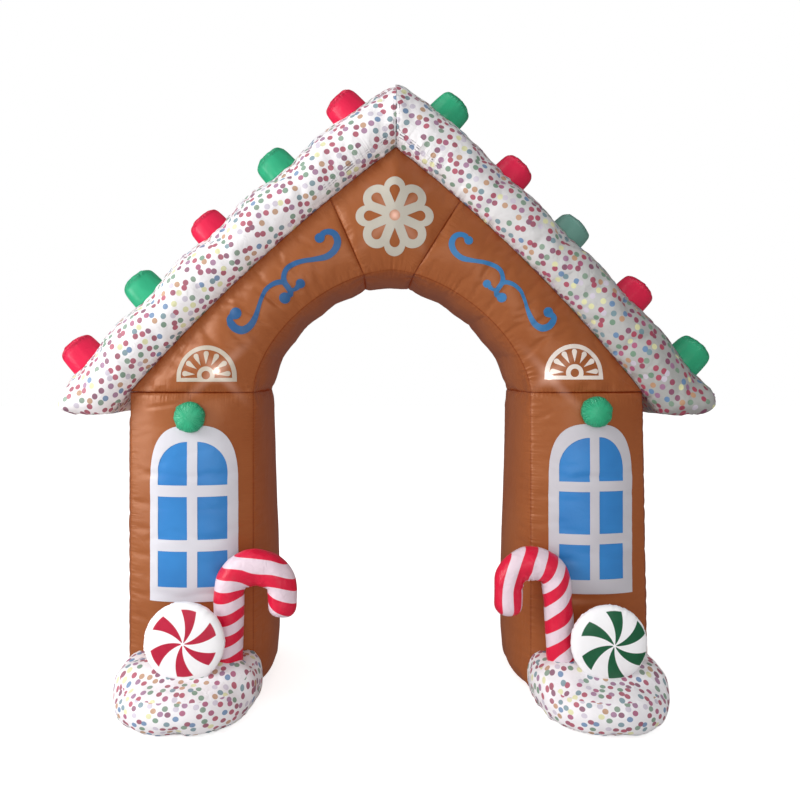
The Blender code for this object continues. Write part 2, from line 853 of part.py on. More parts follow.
for side in ("left", "right"):
    foot_point = Vector((feet[side]["middle"], 0, 0))
    leg = add_object(f"leg_{side}", loft(leg_rings(side)), "gingerbread", foot_point)
    leg_seat = grown_guide(leg)

    shoulder_start = opening_point(side, 0)
    shoulder = add_object(f"shoulder_{side}", loft(shoulder_rings(side)), "gingerbread", shoulder_start)

    roof = add_object(f"roof_{side}", loft(roof_rings(side)), "dotted_white", apex.copy())
    roof_gumdrops(side, grown_guide(roof))

    mound_top = Vector((feet[side]["middle"], mound_middle_y, mound_height(mound_middle_y)))
    mound_shape = loft(mound_rings(side), end_tip=mound_top)
    mound = add_object(f"mound_{side}", mound_shape, "dotted_white", foot_point)
    cut(mound, leg_seat)
    mound_seat = grown_guide(mound)

    rings, tip = cane_rings(side)
    cane_seat = Vector((canes[side]["foot"], cane_y, cane_foot_height))
    cane = add_object(f"cane_{side}", loft(rings, end_tip=tip), "cane_red", cane_seat)
    cut(cane, mound_seat)

    mint = mints[side]
    mint_centre = Vector((mint["middle"], mint_y, mint["height"]))
    face = Vector((0, mint_half_thickness, 0))
    mint_shape = loft(mint_rings(side), mint_centre - face, mint_centre + face)
    disc = add_object(f"mint_{side}", mint_shape, mint["material"], mint_centre)
    cut(disc, mound_seat)

    glass_front = touch_gap + glass_thickness
    frame_back = glass_front + touch_gap
    frame_front = frame_back + sheet_thickness
    glass_skin = skin_guide(f"glass_skin_{side}", leg_rings(side), touch_gap, glass_front)
    frame_skin = skin_guide(f"frame_skin_{side}", leg_rings(side), frame_back, frame_front)
    applique(f"window_glass_{side}", [glass_loop(side)], "window_blue", glass_skin)
    applique(f"window_frame_{side}", [window_loop(side)] + pane_loops(side), "window_white", frame_skin)

    over_frame = applique(
        f"over_frame_{side}",
        [window_loop(side, margin=touch_gap)],
        "window_white",
        skin_guide(f"over_frame_skin_{side}", leg_rings(side), 0.0, frame_front + touch_gap),
    )
    as_guide(over_frame)
    seat = Vector((wall_gumdrops[side]["x"], -wall_depth / 2 - 0.085, wall_gumdrops[side]["z"]))
    gumdrop(
        f"wall_gumdrop_{side}",
        seat,
        Vector((0, -1, 0)),
        wall_gumdrop_radius,
        wall_gumdrop_height,
        "candy_green",
        [leg_seat, over_frame],
    )

    shoulder_skin = skin_guide(
        f"shoulder_skin_{side}", shoulder_rings(side), touch_gap, touch_gap + sheet_thickness
    )
    applique(f"fan_{side}", fan_loops(side), "icing_white", shoulder_skin)
    hub = (fans[side]["middle"], fans[side]["base"] + hub_height)
    for number, angle in enumerate(petal_angles):
        petal = teardrop_loop(*hub, angle, 0.053, 0.119, 0.013)
        applique(f"petal_{side}_{number + 1}", [petal], "icing_white", shoulder_skin)

    scroll_shape = flat_prism([stroke_loop(long_stroke, side)], -0.60, -0.30)
    scroll = add_object(f"scroll_{side}", scroll_shape, "scroll_blue")
    for number, stroke in enumerate((low_stroke, short_stroke)):
        branch_shape = flat_prism([stroke_loop(stroke, side)], -0.61, -0.29)
        branch = add_object(f"scroll_branch_{side}_{number}", branch_shape, "scroll_blue")
        cut(scroll, as_guide(branch), "UNION")
    cut(scroll, shoulder_skin, "INTERSECT")
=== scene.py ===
import math
import time

import bpy
import numpy as np
from mathutils import Matrix, Vector, noise
from mathutils.bvhtree import BVHTree
from mathutils.kdtree import KDTree


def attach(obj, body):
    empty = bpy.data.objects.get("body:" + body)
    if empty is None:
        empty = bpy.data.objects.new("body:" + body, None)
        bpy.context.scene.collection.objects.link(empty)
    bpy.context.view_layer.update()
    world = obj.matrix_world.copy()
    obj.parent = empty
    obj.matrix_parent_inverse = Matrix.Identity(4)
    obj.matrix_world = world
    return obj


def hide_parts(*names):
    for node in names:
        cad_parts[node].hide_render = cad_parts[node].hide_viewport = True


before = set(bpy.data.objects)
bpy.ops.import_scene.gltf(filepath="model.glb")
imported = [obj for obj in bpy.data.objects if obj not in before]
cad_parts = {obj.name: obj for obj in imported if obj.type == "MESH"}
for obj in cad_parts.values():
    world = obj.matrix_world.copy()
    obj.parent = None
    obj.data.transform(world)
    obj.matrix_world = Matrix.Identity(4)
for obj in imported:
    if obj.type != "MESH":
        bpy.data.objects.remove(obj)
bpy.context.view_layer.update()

# An inflatable gingerbread-house archway: air-filled chambers of satin nylon, sewn along their edges.
# X runs across, Y from front to back and Z up. Everything is in metres.
startTime = time.time()
scene = bpy.context.scene

archPlace = np.array((0.015, 0.176, 0.0))  # from the arch's own frame to the part's
sideSign = {"left": -1, "right": 1}
sides = ("left", "right")
tiny = 1e-5  # how near to a wall of the unit box counts as on it


# ---- colours and materials


def linear(code):
    # An sRGB hex colour as linear RGBA.
    parts = [int(code[i : i + 2], 16) / 255 for i in (1, 3, 5)]
    return (*[p / 12.92 if p <= 0.04045 else ((p + 0.055) / 1.055) ** 2.4 for p in parts], 1.0)


def addNode(tree, kind, inputs=(), out=0, **settings):
    # A node with its settings, its inputs as values, hex colours or sockets to link from. Gives one output.
    node = tree.nodes.new("ShaderNode" + kind)
    for key, value in settings.items():
        setattr(node, key, value)
    for socket, value in inputs.items() if isinstance(inputs, dict) else enumerate(inputs):
        if isinstance(value, bpy.types.NodeSocket):
            tree.links.new(value, node.inputs[socket])
        else:
            node.inputs[socket].default_value = linear(value) if isinstance(value, str) else value
    return node.outputs[out]


def newMaterial(name, roughness, sheen=0.0, sheenTint="#ffffff", ior=1.5, gloss="#ffffff"):
    material = bpy.data.materials.new(name)
    material.use_nodes = True
    shader = material.node_tree.nodes["Principled BSDF"]
    shader.inputs["Roughness"].default_value = roughness
    shader.inputs["Sheen Weight"].default_value = sheen
    shader.inputs["Sheen Roughness"].default_value = 0.45
    shader.inputs["Sheen Tint"].default_value = linear(sheenTint)
    shader.inputs["IOR"].default_value = ior
    shader.inputs["Specular Tint"].default_value = linear(gloss)
    return material, material.node_tree, shader


def newCloth(name, look, lit, shaded, roughness, **more):
    # A cloth's material, with a dye that drifts a little between two close colours.
    material, tree, shader = newMaterial(name, roughness, **more)
    place = addNode(tree, "TexCoord", out="Object")
    scale, detail = look["cloud"]
    cloud = addNode(tree, "TexNoise", {"Vector": place, "Scale": scale, "Detail": detail})
    dye = addNode(tree, "Mix", {0: cloud, 6: shaded, 7: lit}, 2, data_type="RGBA")
    return material, tree, shader, place, dye


def addTucks(tree, look):
    # Short tucks that run off the stitching and die away, with the two seam attributes they are read from.
    scale, far, depth, strength = look["tucks"]
    distance = addNode(tree, "Attribute", out="Fac", attribute_name="seamDistance")
    spot = addNode(tree, "Attribute", out="Vector", attribute_name="seamSpot")
    height = addNode(tree, "TexNoise", {"Vector": spot, "Scale": scale, "Detail": 2.0})
    fade = addNode(tree, "MapRange", (distance, 0.0, far, 1.0, 0.0))
    height = addNode(tree, "Math", (height, fade), operation="MULTIPLY")
    return addNode(tree, "Bump", {"Height": height, "Distance": depth, "Strength": strength}), distance, spot


def addCrinkle(tree, shader, place, look, under=None):
    # Fine crinkles all over the cloth, on top of any deeper folds.
    scale, detail, warp, depth, strength = look["crinkle"]
    crinkle = {"Vector": place, "Scale": scale, "Detail": detail, "Distortion": warp}
    bump = {"Height": addNode(tree, "TexNoise", crinkle), "Distance": depth, "Strength": strength}
    if under is not None:
        bump["Normal"] = under
    tree.links.new(addNode(tree, "Bump", bump), shader.inputs["Normal"])


# ---- mesh helpers


def deselectAll():
    if bpy.context.object and bpy.context.object.mode != "OBJECT":
        bpy.ops.object.mode_set(mode="OBJECT")
    bpy.ops.object.select_all(action="DESELECT")


def makeActive(piece):
    deselectAll()
    piece.select_set(True)
    bpy.context.view_layer.objects.active = piece


def nameActive(name):
    piece = bpy.context.active_object
    piece.name = name
    piece.data.name = name
    return piece


def openPiece(piece):
    # Into edit mode with everything selected.
    makeActive(piece)
    bpy.ops.object.mode_set(mode="EDIT")
    bpy.ops.mesh.select_all(action="SELECT")


def closePiece():
    # Out of edit mode, with the faces turned outwards.
    bpy.ops.mesh.select_all(action="SELECT")
    bpy.ops.mesh.normals_make_consistent(inside=False)
    bpy.ops.object.mode_set(mode="OBJECT")


def readAll(items, key, width=1, kind=np.float64):
    values = np.empty(len(items) * width, dtype=kind)
    items.foreach_get(key, values)
    return values.reshape(-1, width) if width > 1 else values


def readPoints(mesh):
    return readAll(mesh.vertices, "co", 3)


def writePoints(mesh, points):
    mesh.vertices.foreach_set("co", np.ascontiguousarray(points, dtype=np.float64).ravel())
    mesh.update()


def readNormals(mesh):
    return readAll(mesh.vertex_normals, "vector", 3)


def edgeEnds(mesh):
    return readAll(mesh.edges, "vertices", 2, np.int32)


def faceCorners(mesh):
    # The point at each face corner, where each face's corners start, and how many it has.
    corners = readAll(mesh.loops, "vertex_index", 1, np.int32)
    starts = readAll(mesh.polygons, "loop_start", 1, np.int32)
    return corners, starts, np.diff(np.append(starts, len(corners)))


def writeField(mesh, name, values):
    # A number or a vector at each point, for the material to read.
    kind, key = ("FLOAT", "value") if values.ndim == 1 else ("FLOAT_VECTOR", "vector")
    layer = mesh.attributes.new(name, kind, "POINT")
    layer.data.foreach_set(key, values.astype(np.float32).ravel())


def markSharp(mesh, chosen, amount=1.0):
    # Edges that stay crisp when the mesh is subdivided.
    mark = mesh.attributes.new("crease_edge", "FLOAT", "EDGE")
    mark.data.foreach_set("value", chosen.astype(np.float32) * amount)


def applyModifier(piece, kind, **settings):
    makeActive(piece)
    change = piece.modifiers.new(kind.lower(), kind)
    for key, value in settings.items():
        setattr(change, key, value)
    bpy.ops.object.modifier_apply(modifier=change.name)


def subdivideOnce(piece):
    applyModifier(piece, "SUBSURF", levels=1, render_levels=1, uv_smooth="PRESERVE_BOUNDARIES")


def cutBy(piece, tool, operation="DIFFERENCE"):
    applyModifier(piece, "BOOLEAN", operation=operation, solver="EXACT", object=tool)


def addGridBox(name, cells):
    # A cube from corner to corner of the unit space, its edges subdivided along each axis.
    deselectAll()
    bpy.ops.mesh.primitive_cube_add(size=1, location=(0.5, 0.5, 0.5))
    bpy.ops.object.transform_apply(location=True, rotation=False, scale=False)
    piece = nameActive(name)
    for axis, count in enumerate(cells):
        if count < 2:
            continue
        bpy.ops.object.mode_set(mode="EDIT")
        bpy.ops.mesh.select_mode(type="EDGE")
        bpy.ops.mesh.select_all(action="DESELECT")
        bpy.ops.object.mode_set(mode="OBJECT")
        ends = readPoints(piece.data)[edgeEnds(piece.data)]
        piece.data.edges.foreach_set("select", np.abs(ends[:, 0] - ends[:, 1])[:, axis] > 0.5)
        bpy.ops.object.mode_set(mode="EDIT")
        bpy.ops.mesh.subdivide(number_cuts=count - 1)
    bpy.ops.object.mode_set(mode="OBJECT")
    return piece


def addRing(name, count, radius, fill="NOTHING", place=(0, 0, 0)):
    deselectAll()
    bpy.ops.mesh.primitive_circle_add(vertices=count, radius=radius, fill_type=fill, location=place)
    return nameActive(name)


def extrudeRow(step, scale=None, about=None):
    # The next row of a ring, moved on and drawn in or let out.
    bpy.ops.mesh.extrude_region_move(TRANSFORM_OT_translate={"value": step})
    if scale is not None:
        bpy.ops.transform.resize(value=(scale, scale, 1), center_override=about)


def atWall(box, axis, value):
    return np.abs(box[:, axis] - value) < tiny


def seamPoints(box):
    # The points on the edges of the box, where its panels are sewn together.
    return sum(atWall(box, axis, 0).astype(int) + atWall(box, axis, 1) for axis in range(3)) >= 2


def tighter(share, amount=0.4):
    # Puts more of the cells near both seams.
    return (1 - amount) * share + amount * (0.5 - 0.5 * np.cos(np.pi * share))


def bulge(part):
    # How far a panel between two seams stands out, as a share of its crown.
    return 1 - np.abs(2 * part - 1) ** 2.2


def unit(vectors):
    return vectors / np.linalg.norm(vectors, axis=-1)[..., None]


def runAlong(points):
    # How far along a line each of its points lies.
    return np.append(0, np.cumsum(np.linalg.norm(np.diff(points, axis=0), axis=1)))


def layUv(mesh, box, maps):
    # A UV map in metres, each sewn panel an island of its own, from one map for the panels across each axis.
    corners, starts, sizes = faceCorners(mesh)
    uv = np.zeros((len(corners), 2))
    for panel in range(6):
        onIt = np.abs(box[corners, panel // 2] - panel % 2) < tiny
        chosen = np.repeat(np.logical_and.reduceat(onIt, starts), sizes)
        uv[chosen] = maps[panel // 2][corners[chosen]] + np.array((panel * 7.3, panel * 3.1))
    mesh.uv_layers.active.uv.foreach_set("vector", uv.ravel())


def inflate(piece, held, air, frames=20):
    # Air pressure inside the cloth, held along its seams, with a little spare cloth in each panel.
    rest = readPoints(piece.data)
    group = piece.vertex_groups.new(name="sewn")
    group.add([int(i) for i in np.nonzero(held)[0]], 1.0, "REPLACE")
    makeActive(piece)
    change = piece.modifiers.new("air", "CLOTH")
    change.settings.quality = 5
    change.settings.mass = 0.15
    change.settings.vertex_group_mass = "sewn"
    change.settings.use_pressure = True
    change.settings.uniform_pressure_force = air["pressure"]
    change.settings.shrink_min = -air["spare"]
    change.settings.tension_stiffness = 20
    change.settings.compression_stiffness = 20
    change.settings.shear_stiffness = 8
    change.settings.bending_stiffness = air["bending"]
    change.settings.effector_weights.gravity = 0
    change.collision_settings.use_collision = False
    change.point_cache.frame_start = 1
    change.point_cache.frame_end = frames
    for step in range(frames):
        scene.frame_set(step + 1)
    bpy.ops.object.modifier_apply(modifier=change.name)
    moved = readPoints(piece.data) - rest
    length = np.linalg.norm(moved, axis=1)
    share = np.minimum(1, air["cap"] / np.maximum(length, 1e-9))
    writePoints(piece.data, rest + moved * share[:, None])
    piece.vertex_groups.clear()
    scene.frame_set(1)
    print(f"{piece.name}: air, moved {1000 * length.mean():.1f} mm, most {1000 * length.max():.1f} mm")


def seamLine(mesh, chosen, gap=0.004):
    # Spots close together along the seams, so that distances from them are true.
    points = readPoints(mesh)
    ends = edgeEnds(mesh)
    made = [points[chosen]]
    for start, end in points[ends[chosen[ends].all(axis=1)]]:
        steps = int(np.linalg.norm(end - start) / gap)
        for step in range(1, steps):
            made.append((start + (end - start) * step / steps)[None, :])
    return np.vstack(made)


pucker = {
    "broadPitch": 3.3,  # the broad swells between the gathers, against the pitch of the fine ones
    "sharpness": 3.2,
    "fineShare": (0.9, 0.6, 0.9),
    "broadShare": 0.5,
    "reaches": 7,  # the folds have died away this many reaches off the seam
    "slackStretch": (1, 1, 0.7),
    "slackFrom": 0.08,  # nearer to a seam than this, the cloth lies tauter
}


def noiseAt(points, pitch, seed):
    shift = np.array((seed * 3.7, seed * 1.3, seed * 5.1))
    return np.array([noise.noise(Vector(point)) for point in points / pitch + shift])


def addPuckers(piece, seams, tuck, seed):
    # Stitching gathers the cloth a little, so short folds run off every seam and die away.
    mesh = piece.data
    points = readPoints(mesh)
    tree = KDTree(len(seams))
    for index, spot in enumerate(seams):
        tree.insert(spot, index)
    tree.balance()
    found = [tree.find(point) for point in points]
    nearest = np.array([spot for spot, _, _ in found], dtype=float)
    distance = np.array([away for _, _, away in found])
    depth = np.zeros(len(points))
    near = distance < tuck["reach"] * pucker["reaches"]
    fade = distance[near] / tuck["reach"]
    fade = fade * np.exp(1 - fade)
    fine = noiseAt(nearest[near], tuck["pitch"], seed)
    broad = noiseAt(nearest[near], tuck["pitch"] * pucker["broadPitch"], seed + 1)
    folds = 1 - np.abs(fine) * pucker["sharpness"]
    most, even, uneven = pucker["fineShare"]
    folds = most * folds * (even + uneven * broad) + pucker["broadShare"] * broad
    depth[near] = tuck["depth"] * fade * folds
    slack = noiseAt(points * np.array(pucker["slackStretch"]), tuck["slackPitch"], seed + 2)
    depth += tuck["slack"] * slack * np.minimum(distance / pucker["slackFrom"], 1)
    writePoints(mesh, points + readNormals(mesh) * depth[:, None])
    writeField(mesh, "seamDistance", distance)
    writeField(mesh, "seamSpot", nearest)


def blowUp(piece, held, stitched, cloth, seed):
    # Air first, then a finer mesh, then the puckers along the stitching.
    inflate(piece, held, cloth["air"])
    seams = seamLine(piece.data, stitched)
    subdivideOnce(piece)
    addPuckers(piece, seams, cloth["folds"], seed)


def keepAboveGround(mesh):
    points = readPoints(mesh)
    points[:, 2] = np.maximum(points[:, 2], 0)
    writePoints(mesh, points)


def finishPiece(piece, material, slotName, node, angle=50, padded=True):
    makeActive(piece)
    bpy.ops.object.shade_smooth_by_angle(angle=math.radians(angle))
    piece.data.materials.clear()
    piece.data.materials.append(material)
    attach(piece, "root")
    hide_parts(node)


# ---- camera, light and floor

view = {"place": (-0.058, -4.004, 1.648), "lens": 34.2, "shift": (0.03125, -0.0375)}
bpy.ops.object.camera_add(location=view["place"], rotation=(math.radians(90), 0, 0))
camera = bpy.context.active_object
camera.name = "camera"
camera.data.lens = view["lens"]
camera.data.sensor_width = 36
camera.data.shift_x, camera.data.shift_y = view["shift"]
camera.data.clip_end = 200
scene.camera = camera

studio = {
    "world": 0.57,
    "dark": 0.10,  # dark cards round the set, so satin seen edge-on keeps its own colour
    "floorGlow": 0.72,
    "aim": Vector((0, 0, 1.5)),
    "lights": (
        {"name": "keyLight", "place": (-6.0, -3.2, 4.0), "size": 2.8, "power": 234},
        {"name": "sideLight", "place": (-6.0, -1.9, 1.4), "size": 2.6, "power": 80},
        {"name": "frontLight", "place": (0.2, -7.0, 1.8), "size": 4.0, "power": 92},
        {"name": "topLight", "place": (-3.0, -1.2, 6.4), "size": 4.0, "power": 50},
    ),
}
world = bpy.data.worlds.new("paleStudio")
scene.world = world
world.use_nodes = True
sky = world.node_tree.nodes["Background"]
sky.inputs["Color"].default_value = linear("#ffffff")
rays = addNode(world.node_tree, "LightPath").node.outputs
around = (rays["Is Glossy Ray"], 0.0, 1.0, studio["world"], studio["dark"])
strength = (rays["Is Camera Ray"], 0.0, 1.0, addNode(world.node_tree, "MapRange", around), 1.0)
world.node_tree.links.new(addNode(world.node_tree, "MapRange", strength), sky.inputs["Strength"])
scene.view_settings.view_transform = "Standard"
for light in studio["lights"]:
    bpy.ops.object.light_add(type="AREA", location=light["place"])
    lamp = bpy.context.active_object
    lamp.name = light["name"]
    lamp.data.size = light["size"]
    lamp.data.energy = light["power"]
    lamp.rotation_euler = (studio["aim"] - lamp.location).to_track_quat("-Z", "Y").to_euler()

deselectAll()
bpy.ops.mesh.primitive_plane_add(size=60, location=(0, 0, -0.002))
floor = bpy.context.active_object
floor.name = "floor"
# Matte paint: a pale, even ground that only the camera sees glow.
floorPaint, tree, shader = newMaterial("mattePaintFloor", 0.9)
shader.inputs["Base Color"].default_value = linear("#e4e3e2")
shader.inputs["Emission Color"].default_value = linear("#ffffff")
seen = addNode(tree, "LightPath", out="Is Camera Ray")
glow = addNode(tree, "Math", (seen, studio["floorGlow"]), operation="MULTIPLY")
tree.links.new(glow, shader.inputs["Emission Strength"])
floor.data.materials.append(floorPaint)
floor.visible_glossy = False
print("camera, light and floor made")


# ---- painted glow of the small lamps inside

led = {
    # behind each fan and the rosette, with the brightness
    "spots": ((-0.855, 1.643, 1.0), (0.793, 1.618, 1.0), (0.024, 2.408, 0.11)),
    "depth": (-0.40, -0.34),  # the light fades out between these depths
    "colour": "#fff0e6",
    "core": 0.024,
    "halo": (0.075, 0.11),  # how far out it goes, and how bright it is
    "streak": (0.30, 0.062),
    "lean": math.radians(42),
    "width": 0.036,
}


def addGlow(tree, shader, place, strength, colour=led["colour"], through=("#000000", 0.0)):
    # Painted glow of the small lamps inside, drawn as if shining through the cloth: a bright spot with four
    # faint streaks along the weave's diagonals.
    # They hang close behind the front cloth, so the sides and the back don't show them.
    # Anywhere else a faint even painted glow is added, in a colour close to the cloth's own.
    soft = {"interpolation_type": "SMOOTHSTEP"}
    total = 0.0
    for x, z, bright in led["spots"]:
        flat = addNode(tree, "VectorMath", (place, (x + archPlace[0], 0, z)), operation="SUBTRACT")
        flat = addNode(tree, "VectorMath", (flat, (1, 0, 1)), operation="MULTIPLY")
        away = addNode(tree, "VectorMath", (flat,), "Value", operation="LENGTH")
        core, haze, streak = (
            addNode(tree, "MapRange", (away, 0.0, far, most, 0.0), **soft)
            for far, most in ((led["core"], bright), led["halo"], led["streak"])
        )
        turned = addNode(tree, "VectorRotate", {"Vector": flat, "Angle": led["lean"]}, rotation_type="Y_AXIS")
        star = 0.0
        for axis in ("X", "Z"):
            off = addNode(tree, "SeparateXYZ", (turned,), axis)
            off = addNode(tree, "Math", (off,), operation="ABSOLUTE")
            arm = addNode(tree, "MapRange", (off, 0.0, led["width"], 1.0, 0.0), **soft)
            star = addNode(tree, "Math", (star, arm), operation="MAXIMUM")
        spot = addNode(tree, "Math", (star, streak), operation="MULTIPLY")
        for light in (haze, core, total):
            spot = addNode(tree, "Math", (spot, light), operation="ADD")
        total = spot
    depth = addNode(tree, "SeparateXYZ", (place,), "Y")
    near, far = (archPlace[1] + edge for edge in led["depth"])
    front = addNode(tree, "MapRange", (depth, near, far, 1.0, 0.0))
    total = addNode(tree, "Math", (total, front), operation="MULTIPLY")
    # Painted glow: the lamp spots and the faint even glow together feed the emission.
    lamps = addNode(tree, "VectorMath", {0: linear(colour)[:3], "Scale": total}, operation="SCALE")
    faint = [part * through[1] / strength for part in linear(through[0])[:3]]
    light = addNode(tree, "VectorMath", (lamps, faint), operation="ADD")
    tree.links.new(light, shader.inputs["Emission Color"])
    shader.inputs["Emission Strength"].default_value = strength


# ---- gingerbread nylon

brown = {
    "thread": "#5f2911",
    "threadAndShadeLine": (0.0014, 0.0050, 0.85, 0.0),  # how wide the thread line with its painted seam shade is, and how much of the cloth it covers
    "tethers": ((-0.985, 1.508), (1.008, 1.520)),  # a short seam hangs each wall gumdrop from the one above
    "tetherReach": (0.0026, 0.3, 0.022),
    "tetherLine": (0.6, 1.2, 0.7, 0.0),
    "glow": (1.9, "#ffe4d8", ("#ff5a14", 0.058)),  # painted glow: strength and colour at the lamp spots, then colour and strength of a faint painted glow over all the cloth
    "cloud": (3.2, 3.0),
    "tucks": (62.0, 0.075, 0.006, 0.9),
    "crinkle": (14.0, 4.0, 0.8, 0.006, 0.38),
}
# Satin nylon taffeta, woven of bright filament: a soft broad highlight with a pink cast at the edges,
# fine crinkles everywhere, short tucks along the stitching, and a darker thread line in each seam, drawn wide
# enough to stand also for painted shade in the seam's valley; a painted glow lies over it.
nylonBrown, tree, shader, place, dye = newCloth(
    "satinNylonTaffetaBrown", brown, "#965d36", "#824a26", 0.37, ior=1.6, gloss="#ffcdb0"
)
tucks, seamDistance, _ = addTucks(tree, brown)
# Painted seam shade: the dark thread line also stands for the shade in each seam's valley.
threadAndSeamShade = addNode(tree, "MapRange", (seamDistance, *brown["threadAndShadeLine"]))
for x, z in brown["tethers"]:
    away = addNode(tree, "VectorMath", (place, (x + archPlace[0], -0.25, z)), operation="SUBTRACT")
    away = addNode(tree, "VectorMath", (away, brown["tetherReach"]), operation="DIVIDE")
    away = addNode(tree, "VectorMath", (away,), operation="ABSOLUTE")
    split = addNode(tree, "SeparateXYZ", (away,)).node.outputs
    worst = addNode(tree, "Math", (split["X"], split["Z"]), operation="MAXIMUM")
    worst = addNode(tree, "Math", (worst, split["Y"]), operation="MAXIMUM")
    line = addNode(tree, "MapRange", (worst, *brown["tetherLine"]))
    threadAndSeamShade = addNode(tree, "Math", (threadAndSeamShade, line), operation="MAXIMUM")
sewnColour = addNode(tree, "Mix", {0: threadAndSeamShade, 6: dye, 7: brown["thread"]}, 2, data_type="RGBA")
tree.links.new(sewnColour, shader.inputs["Base Color"])
# Painted glow on the brown cloth, which also lifts its shaded parts.
addGlow(tree, shader, place, *brown["glow"])
addCrinkle(tree, shader, place, brown, tucks)


# ---- wall chambers, on the same seams as the solids

walls = {
    "depth": 0.70,
    "springing": 1.535,
    "legTop": 1.5346,
    "openingMiddle": 0.013,
    "openingHalf": 0.699,
    "openingRise": 0.617,
    "squareness": {"left": 1.7, "right": 1.63},
    "apex": np.array((0.032, 0.0, 2.772)),
    "eaves": {"left": np.array((-1.305, 0.0, 1.54)), "right": np.array((1.272, 0.0, 1.54))},
    "gableBow": {"left": 0.047, "right": 0.053},
    "keyAngle": {"left": 75.0, "right": 77.0},
    "keyShare": {"left": 0.769, "right": 0.759},
    "legSplay": {"left": 0.0, "right": 0.026},
    "pinches": (0.0, 0.30, 0.56, 0.78, 1.0),  # where inner webs hold the opening's cloth back
    "pinchReach": 0.13,
    "crown": 0.15,  # how far the front and the back stand out, as a share of the width
    "outerCrown": 0.05,
    "innerCrown": 0.07,
    "soffitCrown": {"shoulder": 0.034, "keystone": 0.03},
    "gap": 0.0003,  # between the seams of one chamber and the next
}
aside = np.array((0.0, 1.0, 0.0))


def gableNormal(side):
    along = unit(walls["apex"] - walls["eaves"][side])
    return np.array((-along[2], 0.0, along[0])) * (1 if along[0] > 0 else -1)


def gableLength(side):
    return np.linalg.norm(walls["apex"] - walls["eaves"][side])


def gablePoint(side, share):
    share = np.asarray(share, dtype=float)[..., None]
    bow = 4 * share * (1 - share) * walls["gableBow"][side]
    eave = walls["eaves"][side]
    return eave + (walls["apex"] - eave) * share + gableNormal(side) * bow


def openingPoint(side, angle):
    turn = np.radians(np.asarray(angle, dtype=float))
    power = 2 / walls["squareness"][side]
    across = walls["openingHalf"] * np.maximum(np.cos(turn), 0) ** power
    rise = walls["openingRise"] * np.maximum(np.sin(turn), 0) ** power
    x = walls["openingMiddle"] + sideSign[side] * across
    return np.stack((x, 0 * x, walls["springing"] + rise), axis=-1)


def wallForm(box, inner, outer, front, sideOut, sideIn, half):
    # Between the opening's seam and the outer seam, every panel standing out by its crown.
    part = tighter(box[:, 0])
    deep = tighter(box[:, 1])
    across = unit(outer - inner)
    swell = front * bulge(part) * (2 * deep - 1)
    reach = (sideOut * part - sideIn * (1 - part)) * bulge(deep)
    spots = inner + (outer - inner) * part[:, None]
    spots = spots + aside * ((2 * deep - 1) * half + swell)[:, None]
    return spots + across * reach[:, None] + archPlace


# height, how far the seams are set in, and the swell of the front, the outer and the inner panel
legRows = np.array(
    (
        (0.000, 0.045, 0.45, 0.40, 0.35),
        (0.018, 0.015, 0.62, 0.60, 0.55),
        (0.060, 0.000, 0.82, 0.85, 0.80),
        (0.200, 0.000, 0.96, 1.00, 0.97),
        (0.500, 0.000, 1.00, 1.00, 1.00),
        (0.850, 0.000, 1.00, 1.00, 0.78),
        (1.150, 0.000, 1.00, 1.00, 0.58),
        (1.340, 0.000, 0.96, 0.95, 0.46),
        (1.440, 0.000, 0.89, 0.60, 0.40),
        (1.500, 0.000, 0.80, 0.20, 0.34),
        (1.5348, 0.000, 0.70, 0.00, 0.30),
    )
)


def legForm(side, box):
    height = tighter(box[:, 2], 0.25) * walls["legTop"]
    heights, *columns = legRows.T
    inset, front, outerShare, innerShare = (np.interp(height, heights, column) for column in columns)
    sign = sideSign[side]
    innerX = openingPoint(side, 0)[0]
    outerX = walls["eaves"][side][0]
    splay = sign * walls["legSplay"][side] * (1 - height / walls["springing"])
    inner = np.stack((innerX + inset * sign, 0 * height, height), axis=1)
    outer = np.stack((outerX + splay - inset * sign, 0 * height, height), axis=1)
    crown = walls["crown"] * abs(outerX - innerX) * front
    half = walls["depth"] / 2 - inset
    sideOut, sideIn = walls["outerCrown"] * outerShare, walls["innerCrown"] * innerShare
    return wallForm(box, inner, outer, crown * half / (walls["depth"] / 2), sideOut, sideIn, half)


def drawIn(part):
    # The seams at both ends of a chamber hold its panels in.
    return 0.70 + 0.30 * bulge(part) ** 0.6


def facets(part):
    # Between its inner webs the opening's cloth runs in flat facets.
    away = np.min([np.abs(part - pinch) for pinch in walls["pinches"]], axis=0)
    return 0.25 + 0.75 * np.clip(away / walls["pinchReach"], 0, 1) ** 0.7


def archForm(box, inner, outer, hand, soffit):
    # A chamber over the opening, its end seams held a hair back from the next chamber's.
    width = np.linalg.norm(outer - inner, axis=1)
    lift = (outer - inner) / width[:, None]
    turn = np.stack((lift[:, 2], 0 * width, -lift[:, 0]), axis=1)
    gap = atWall(box, 2, 0) * 1.0 - atWall(box, 2, 1) * 1.0
    turn = turn * (hand * gap * walls["gap"])[:, None]
    crown = walls["crown"] * width * drawIn(box[:, 2])
    return wallForm(box, inner + turn, outer + turn, crown, 0.0, soffit, walls["depth"] / 2)


def shoulderForm(side, box):
    part = box[:, 2]
    inner = openingPoint(side, walls["keyAngle"][side] * part)
    outer = gablePoint(side, walls["keyShare"][side] * part)
    return archForm(box, inner, outer, -sideSign[side], walls["soffitCrown"]["shoulder"] * facets(part))


def keystoneForm(_, box):
    run = box[:, 2]
    inner = np.empty((len(run), 3))
    outer = np.empty((len(run), 3))
    for side in sides:
        mine = run <= 0.5 if side == "left" else run > 0.5
        part = (run if side == "left" else 1 - run)[mine] * 2
        inner[mine] = openingPoint(side, walls["keyAngle"][side] + (90 - walls["keyAngle"][side]) * part)
        outer[mine] = gablePoint(side, walls["keyShare"][side] + (1 - walls["keyShare"][side]) * part)
    return archForm(box, inner, outer, 1, walls["soffitCrown"]["keystone"] * drawIn(run))


